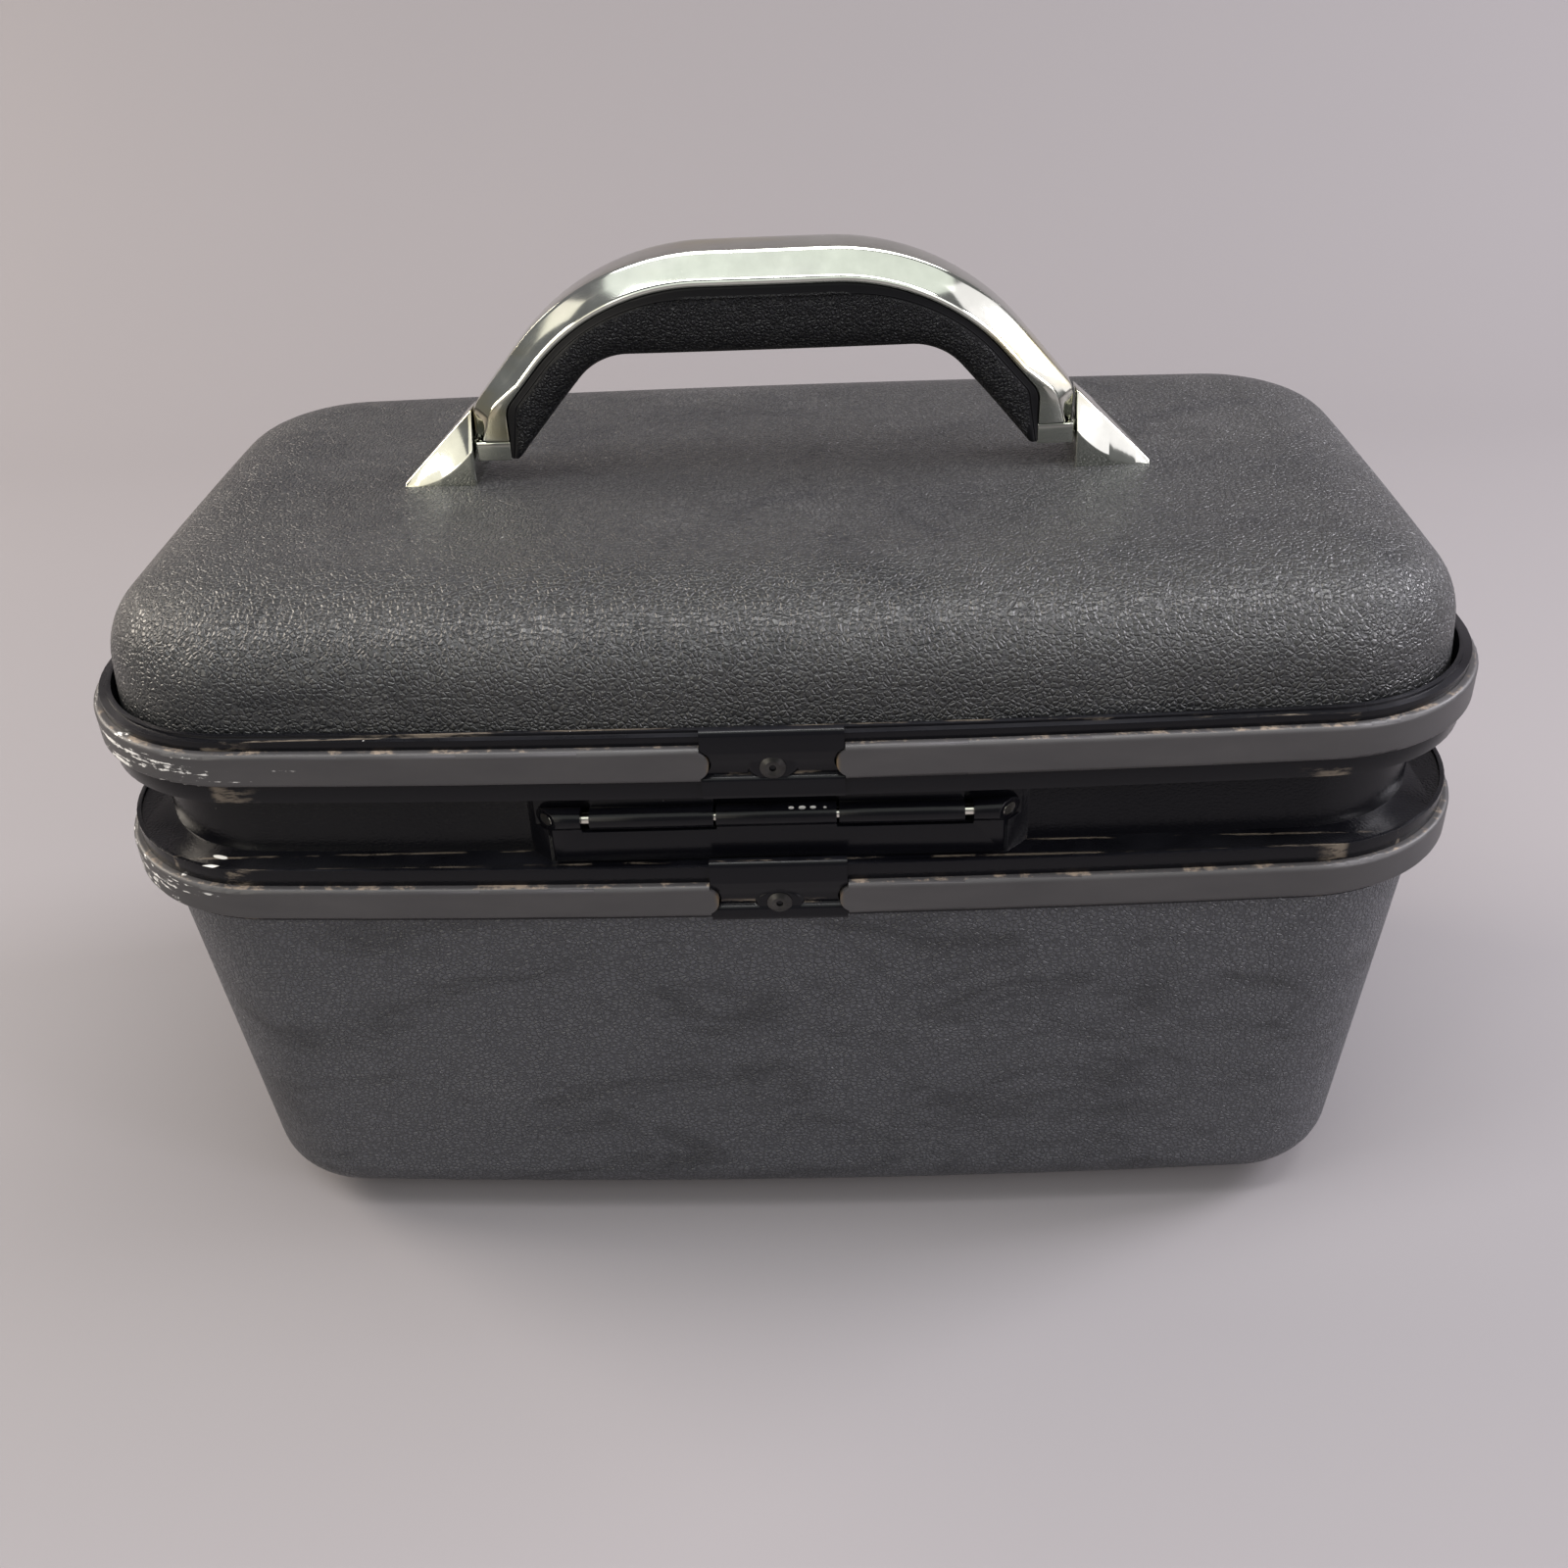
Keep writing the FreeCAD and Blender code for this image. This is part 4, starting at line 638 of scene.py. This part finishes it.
# %% Model the lid shell
LID_LOW, LID_TOP, LID_FLAT, LID_WALL = 155.5, 198.2, 42.0, 2.4
section = rounded([(5.25, LID_LOW), (8.27, 190.5), (29.4, LID_TOP), (LID_FLAT, LID_TOP)], [20.0, 52.0], 5, 12)
rows = [(p.x, p.y, 1.0) for p in section]
rows += [(LID_FLAT, LID_TOP, share) for share in (0.8, 0.6, 0.4, 0.2, 0.05, 0.0)]
lid_skin = ring_loft("lid_skin", rows)
modify(lid_skin, "SOLIDIFY", thickness=LID_WALL * MM, offset=-1.0)
smooth(lid_skin, 40)
settle(lid_skin, "lid", SLOT_OF["lid_shell"], lid_leather_shaded, "lid_shell")

# %% [markdown]
# ## Handle
# The handle is two arches, one under the other: a chrome bail with a bevel down each side and a thin lip, and
# a grained grip that starts with a smooth lip. A curve with a bevel profile could make both, but its section
# can't change on the way as the bail's does near its feet, so each is lofted between two lines. A section is
# a list of (share of the half depth, share of the way from the upper line to the lower one).

# %% Model the bail
def whole(half_line):
    """Both legs of an arch from its right half."""
    return half_line[:-1] + [Vector((-p.x, p.y)) for p in reversed(half_line)]


BAIL_FOOT, GRIP_FOOT, LEG_BEND, LEG_ROUND = 209.6, 204.8, 218.0, 6.0
BAIL_OUT, BAIL_IN, GRIP_OUT = 77.8, 68.7, 68.6
HANDLE_HALF, HALF_DEEP, DEEP_LOSS = 78.5, 11.0, 4.0


def arch(foot, bend, shoulder, radius):
    """Line over both legs, given three corners of the right one and the radius at its shoulder."""
    crown = (0.0, shoulder[1])
    return whole(rounded([foot, bend, shoulder, crown], [LEG_ROUND, radius], straight=10, turn=18))


BAIL_OVER = arch((BAIL_OUT, BAIL_FOOT), (BAIL_OUT, LEG_BEND), (45.0, 256.0), 65.0)
BAIL_UNDER = arch((BAIL_IN, BAIL_FOOT), (BAIL_IN, LEG_BEND), (42.6, 248.2), 57.2)
GRIP_OVER = arch((GRIP_OUT, GRIP_FOOT), (GRIP_OUT, LEG_BEND), (42.5, 248.1), 57.2)
GRIP_UNDER = arch((66.2, GRIP_FOOT), (54.9, LEG_BEND), (43.8, 230.5), 17.0)


def half_depth(x):
    return HALF_DEEP - DEEP_LOSS * (x / HANDLE_HALF) ** 2


def bail_section(z):
    """The bevel is wide on the arch and narrows over the last 17 mm of each leg."""
    low = 0.78 - 0.52 * (1.0 - min(1.0, max(0.0, (z - BAIL_FOOT) / 17.0)))
    side = [(0.0, 0.0), (0.3, 0.0), (0.52, 0.015), (0.575, 0.03), (0.61, 0.07), (0.64, 0.12),
            (0.78, (low + 0.12) / 2), (0.93, low - 0.03), (0.95, low), (0.985, low + 0.03), (1.0, low + 0.07),
            (1.0, (low + 1.07) / 2), (0.985, 0.98), (0.95, 1.0), (0.5, 1.0)]
    return side + [(0.0, 1.0)] + [(-y, d) for y, d in reversed(side[1:])]


def grip_section(z):
    """The same at every height."""
    side = [(0.0, 0.0), (0.5, 0.0), (0.88, 0.0), (0.905, 0.015), (0.915, 0.05), (0.92, 0.13), (0.93, 0.16),
            (0.90, 0.18), (0.905, 0.20), (0.925, 0.26), (0.93, 0.4), (0.925, 0.55), (0.90, 0.68),
            (0.85, 0.79), (0.76, 0.89), (0.62, 0.96), (0.45, 0.995)]
    return side + [(0.0, 1.0)] + [(-y, d) for y, d in reversed(side[1:])]


def arch_loft(name, over, under, section):
    """Loft a closed section along two matching lines."""
    stations, count = len(over), len(section(BAIL_FOOT))

    def spot(u, v):
        top, low = over[round(v * (stations - 1))], under[round(v * (stations - 1))]
        y, share = section(top.y)[round(u * count) % count]
        place = top.lerp(low, share)
        return Vector((place.x, y * half_depth(place.x), place.y)) * MM
    piece = grid(name, count, stations - 1, spot)
    close_ends(piece)
    return piece


bail = arch_loft("bail_casting", BAIL_OVER, BAIL_UNDER, bail_section)
modify(bail, "BEVEL", width=0.25 * MM, segments=2, limit_method="ANGLE", angle_limit=math.radians(50))
smooth(bail, 24)
settle(bail, "handle", "chrome", chrome, "handle_bail")

# %% [markdown]
# ## Grip skin
# The grip is black plastic, pebbled except on the lip beside the bail. Two materials would leave a hard line
# between them, so an attribute that grows from 0 to 1 away from the lip fades the pebbles in.

# %% Model the grip
LIP_SMOOTH, LIP_FADE = 2.6, 0.5
grip_skin = Finish("grip_skin", Specular_IOR_Level=0.24)
grained = grip_skin.node("ShaderNodeAttribute", out="Fac", attribute_name="grained")
grip_cells = grip_skin.cells(1050.0, grip_skin.warp(420.0, 0.0009), "DISTANCE_TO_EDGE")
grip_pebble = grip_skin.ease(grip_cells, 0.0, 0.28)
grip_dust = grip_skin.specks(160.0, 0.0002, 0.10)
# painted highlight and shade on the grain: pebble centres lighter, the cracks between them darker
grip_tone = grip_skin.mix(grip_pebble * grained, srgb(8, 8, 11), srgb(19, 19, 23))
grip_skin.set("Base Color", grip_skin.mix(grip_dust * 0.7, grip_tone, srgb(170, 168, 164)))
grip_skin.set("Roughness", 0.36 + grained * 0.16 - grip_pebble * grained * 0.10)
grip_skin.set("Normal", grip_skin.bump(grip_pebble * grained, 1.0, 0.00042))
grip = arch_loft("grip_moulding", GRIP_OVER, GRIP_UNDER, grip_section)
reach = [min((p - Vector((v.co.x, v.co.z)) / MM).length for p in GRIP_OVER) for v in grip.data.vertices]
mask = grip.data.attributes.new("grained", "FLOAT", "POINT")
mask.data.foreach_set("value", [min(1.0, max(0.0, (gap - LIP_SMOOTH) / LIP_FADE)) for gap in reach])
smooth(grip, 40)
settle(grip, "handle", "grip_black", grip_skin, "handle_grip")

# %% [markdown]
# ## Handle brackets
# Each bracket is a cast gusset: tall at the handle, running out to a thin toe. A wedge cut from a box could
# stand for it, but the lower edge of its bevel sags, so sixteen rows of a six-cornered section follow it.

# %% Model the brackets
BRACKET_NEAR, BRACKET_FAR, BRACKET_FOOT, BRACKET_TALL, BRACKET_HALF = 78.5, 98.0, 197.35, 19.8, 9.0


def bracket_ring(along):
    """The six corners of the bracket's section, as (y, z)."""
    wide, top = BRACKET_HALF * (1.0 - 0.1 * along), BRACKET_HALF * (0.42 + 0.38 * along)
    bevel = BRACKET_TALL * (0.035 + 0.50 * (1.0 - along) ** 2.2)
    ridge = BRACKET_TALL * (1.0 - 0.925 * along)
    return [(-wide, 0.0), (-wide, bevel), (-top, ridge), (top, ridge), (wide, bevel), (wide, 0.0)]


for side, sign in (("left", -1.0), ("right", 1.0)):
    def spot(u, v):
        y, z = bracket_ring(v)[round(u * 6) % 6]
        return Vector((sign * (BRACKET_NEAR + (BRACKET_FAR - BRACKET_NEAR) * v), y, BRACKET_FOOT + z)) * MM
    bracket = grid("bracket_casting_" + side, 6, 16, spot)
    close_ends(bracket)
    modify(bracket, "BEVEL", width=0.45 * MM, segments=3, limit_method="ANGLE", angle_limit=math.radians(24))
    smooth(bracket, 30)
    settle(bracket, "lid", "chrome", chrome, "handle_bracket_" + side)

# %% [markdown]
# ## Seam clips
# A pressed clip hides the joint of each strip. Its section hooks over the rail, folds out, sinks into a dusty
# crease and ends in a flat skirt; the middle is raised into an oval boss for the tube rivet, and each side is
# cut by a round notch where the strip's tongue shows. Booleans on a block could give all this, but a bent
# grid thickened by Solidify is a pressed sheet, as the real clip is.

# %% Model the seam clips
CLIP_HALF, CLIP_SHEET, SECTION_STEP = 16.5, 0.8, 0.28
NOTCH_RADIUS, NOTCH_HIDDEN = 4.0, 1.6
BOSS_STRETCH, BOSS_FLAT, BOSS_RADIUS, BOSS_INSET, BOSS_FALL = 1.6, 3.0, 3.8, 1.3, 0.9


def clip_section(top, low, crease):
    """The sheet's section from hook to skirt, as (inset from the case's side, z)."""
    return [(3.4, top - 0.05), (2.2, top), (1.5, top - 0.35), (1.15, top - 1.2), (0.9, top - 3.0),
            (0.72, top - 4.9), (0.66, top - 5.5), (0.78, top - 6.0), (1.15, top - 7.6), (1.7, top - 9.4),
            (2.05, top - crease + 0.9), (2.2, top - crease), (1.3, top - crease - 0.45),
            (0.95, top - crease - 1.0), (0.85, top - crease - 2.1), (0.85, low + 1.0), (1.1, low + 0.25),
            (1.9, low)]


def press_clip(name, body, node, top, low, crease, notch_z, rivet_z):
    section = [Vector(p) for p in clip_section(top, low, crease)]
    line = []
    for first, last in zip(section, section[1:]):
        steps = max(2, int((last - first).length / SECTION_STEP))
        line += [first.lerp(last, i / steps) for i in range(steps)]
    line.append(section[-1])

    def spot(u, v):
        inset, z = line[round(v * (len(line) - 1))]
        bite = max(0.0, max(0.0, NOTCH_RADIUS ** 2 - (z - notch_z) ** 2) ** 0.5 - NOTCH_HIDDEN)
        x = (u - 0.5) * 2.0 * (CLIP_HALF - bite)
        far = math.hypot(x / BOSS_STRETCH, z - rivet_z)
        slope = min(1.0, max(0.0, (far - BOSS_FLAT) / (BOSS_RADIUS - BOSS_FLAT)))
        if far < BOSS_RADIUS:
            inset = min(inset, BOSS_INSET + BOSS_FALL * slope ** 2)
        return Vector((x, inset - CASE_DEEP / 2, z)) * MM
    piece = grid(name, 96, len(line) - 1, spot)
    weld(piece)
    modify(piece, "SOLIDIFY", thickness=CLIP_SHEET * MM, offset=-1.0)
    smooth(piece, 50)
    settle(piece, body, "fitting_black", clip_enamel, node)


CREASE_DUST = ((-93.75, 123.4, 124.2, 0.35), (-93.75, 159.5, 160.3, 0.35))
clip_enamel = rail_enamel("clip_enamel", 0.03, (), CREASE_DUST)
press_clip("lid_clip_pressing", "lid", "lid_seam_clip", 171.3, 153.3, 11.9, 162.9, 161.6)
press_clip("base_clip_pressing", "base", "base_seam_clip", 135.0, 118.1, 12.5, 124.4, 123.1)

# %% [markdown]
# ## Linings
# The lid and the base are lined in grey fabric over thin foam: the walls are gathered in soft upright folds
# under a rolled hem, and the floor and ceiling are padded. Cloth could be simulated here, but sewn to its
# board it hardly moves, so the folds are a ripple that fades at the hem. First comes the fabric itself.

# %% Lining fabric
fabric = Finish("lining_fabric", Specular_IOR_Level=0.25, Sheen_Weight=0.15)
weave = fabric.node("ShaderNodeTexWave", {"Vector": fabric.spot, "Scale": 700.0}, bands_direction="DIAGONAL")
fabric_cloud = fabric.noise(35.0, 4.0)
fabric.set("Base Color", fabric.mix(fabric_cloud, srgb(142, 138, 136), srgb(160, 156, 152)))
fabric.set("Roughness", 0.72 + fabric_cloud * 0.12)
fabric.set("Normal", fabric.bump(weave * 0.5 + fabric.noise(1500.0) * 0.5, 0.3, 0.0001))
print("fabric nodes:", len(fabric.tree.nodes))

# %% [markdown]
# ## Sewing the linings
# Each lining is one sheet: the hem, the gathered wall and the padded floor or ceiling are rows of one loft.
# Three pieces could be joined, but no seam can open in one. The base's floor swells a little over its foam.

# %% Model the linings
FABRIC_THICK, FABRIC_FILL, FOLD_DEEP = 0.9, 0.4, 0.45
FLOOR_INSET, FLOOR_Z, FLOOR_SWELL = 44.0, 11.0, 0.8
CEILING_INSET, CEILING_Z = 43.0, 189.0


def gathers(first, last):
    """Folds that show only between two rows of a loft."""
    def ripple(u, row):
        inside = min(1.0, max(0.0, (row - first) / 3.0)) * min(1.0, max(0.0, (last - row) / 3.0))
        fold = math.sin(u * 2 * math.pi * 64) * 0.6 + math.sin(u * 2 * math.pi * 103 + row * 0.25) * 0.4
        return fold * FOLD_DEEP * inside
    return ripple


def sew_lining(name, body, node, rows, folds):
    lining = ring_loft(name, rows, 512, gathers(*folds))
    modify(lining, "SOLIDIFY", thickness=FABRIC_THICK * MM, offset=1.0)
    smooth(lining, 60)
    settle(lining, body, "lining_fabric", fabric, node)


hem = [(8.3, 129.2), (8.2, 130.0), (8.6, 130.5), (9.4, 130.5), (9.7, 129.8), (9.4, 128.6)]
wall = rounded([(9.0, 130.2), (19.3, 11.6), (FLOOR_INSET, FLOOR_Z)], [11.0], 12, 8)
rows = [(inset, z, 1.0) for inset, z in hem] + [(p.x + 0.5, p.y, 1.0) for p in wall[2:]]
rows += [(FLOOR_INSET, FLOOR_Z + FLOOR_SWELL * math.sin(math.pi * (1.0 - share)), share)
         for share in (0.85, 0.7, 0.5, 0.3, 0.1, 0.0)]
sew_lining("base_lining_fabric", "base", "base_lining", rows, (6, 17))

hem = [(9.0, 162.2), (8.9, 161.2), (9.3, 160.6), (10.1, 160.5), (10.6, 161.2)]
corners = [(10.5, 162.0), (12.2, 180.2), (36.6, CEILING_Z), (CEILING_INSET, CEILING_Z)]
wall = rounded(corners, [4.0, 8.0], 8, 6)
rows = [(inset, z, 1.0) for inset, z in hem] + [(p.x, p.y, 1.0) for p in wall]
rows += [(CEILING_INSET, CEILING_Z + 0.15, share) for share in (0.8, 0.5, 0.2, 0.0)]
sew_lining("lid_lining_fabric", "lid", "lid_lining", rows, (5, 14))

# %% [markdown]
# ## Studio
# The case stands on a pale grey paper sweep: a sheet whose back edge is drawn up and whose fold is rounded. A
# floor and a wall could do, but the line between them would show behind the case.

# %% Paper sweep
SWEEP_WIDE, SWEEP_DEEP, SWEEP_MIDDLE, SWEEP_TALL, SWEEP_ROUND = 6.0, 3.6, -0.7, 2.6, 0.55
fresh()
bpy.ops.mesh.primitive_plane_add(size=1.0)
sweep = bpy.context.object
sweep.name = "studio_sweep"
sweep.scale = (SWEEP_WIDE, SWEEP_DEEP, 1.0)
sweep.location = (0.0, SWEEP_MIDDLE, 0.0)
bpy.ops.object.transform_apply(location=True, rotation=True, scale=True)


def ends(edge):
    return [sweep.data.vertices[i].co for i in edge.vertices]


pick(sweep, "EDGE", lambda edge: all(end.y > 1.0 for end in ends(edge)))
bpy.ops.mesh.extrude_region_move(TRANSFORM_OT_translate={"value": (0.0, 0.0, SWEEP_TALL)})
pick(sweep, "EDGE", lambda edge: all(end.y > 1.0 and end.z < 0.1 for end in ends(edge)))
bpy.ops.mesh.bevel(offset=SWEEP_ROUND, segments=24)
fresh()
smooth(sweep, 60)
paper = Finish("studio_paper", Specular_IOR_Level=0.2, Roughness=0.75)
paper.set("Base Color", paper.mix(paper.noise(1.3), srgb(131, 127, 129), srgb(125, 122, 125)))
sweep.data.materials.append(paper.material)
print("sweep faces:", len(sweep.data.polygons))

# %% [markdown]
# ## Lamps
# A long soft light hangs overhead and a window stands at each side. A broad panel over the camera, with a
# wide panel and a small bright lamp on either side, gives the chrome and the grain something to reflect. Sky
# light alone would be simpler, but chrome that reflects an even sky looks like grey paint. Each row holds
# a name, a place, an aim, a size, watts and a tint.

# %% Lamps and air
LAMPS = (("overhead_panel", (0.05, -0.2, 1.4), (0.0, -0.05, 0.1), (1.8, 0.34), 24.0, (1.0, 0.99, 0.98)),
         ("left_window", (-1.25, 0.35, 0.8), (-0.05, 0.0, 0.12), (0.6, 0.6), 20.0, (1.0, 0.90, 0.78)),
         ("right_window", (1.35, 0.3, 0.95), (0.05, 0.0, 0.12), (0.5, 0.6), 22.0, (0.97, 0.94, 1.0)),
         ("left_glint", (-1.1, -1.22, 0.62), (-0.12, -0.08, 0.19), (0.28, 0.4), 4.0, (1.0, 0.95, 0.84)),
         ("right_glint", (1.37, -0.79, 0.68), (0.13, -0.07, 0.19), (0.32, 0.42), 8.0, (0.98, 0.95, 1.0)),
         ("left_front", (-1.0, -1.2, 0.63), (-0.1, -0.08, 0.19), (1.2, 1.1), 5.5, (1.0, 0.94, 0.80)),
         ("right_front", (1.3, -0.9, 0.65), (0.12, -0.08, 0.19), (1.4, 1.2), 7.5, (1.0, 0.95, 1.0)),
         ("front_panel", (0.05, -1.05, 1.35), (0.0, 0.0, 0.15), (2.3, 1.1), 9.0, (0.95, 1.0, 0.93)))
for name, spot, aim, (wide, tall), watts, tint in LAMPS:
    fresh()
    bpy.ops.object.light_add(type="AREA", location=spot)
    lamp = bpy.context.object
    lamp.name = name
    lamp.rotation_euler = (Vector(aim) - Vector(spot)).to_track_quat("-Z", "Y").to_euler()
    lamp.data.shape, lamp.data.size, lamp.data.size_y = "RECTANGLE", wide, tall
    lamp.data.energy, lamp.data.color = watts, tint
world = bpy.data.worlds.new("studio_air")
world.use_nodes = True
world.node_tree.nodes["Background"].inputs["Color"].default_value = (0.62, 0.62, 0.64, 1.0)
world.node_tree.nodes["Background"].inputs["Strength"].default_value = 0.36
bpy.context.scene.world = world
print("lamps:", len(LAMPS))
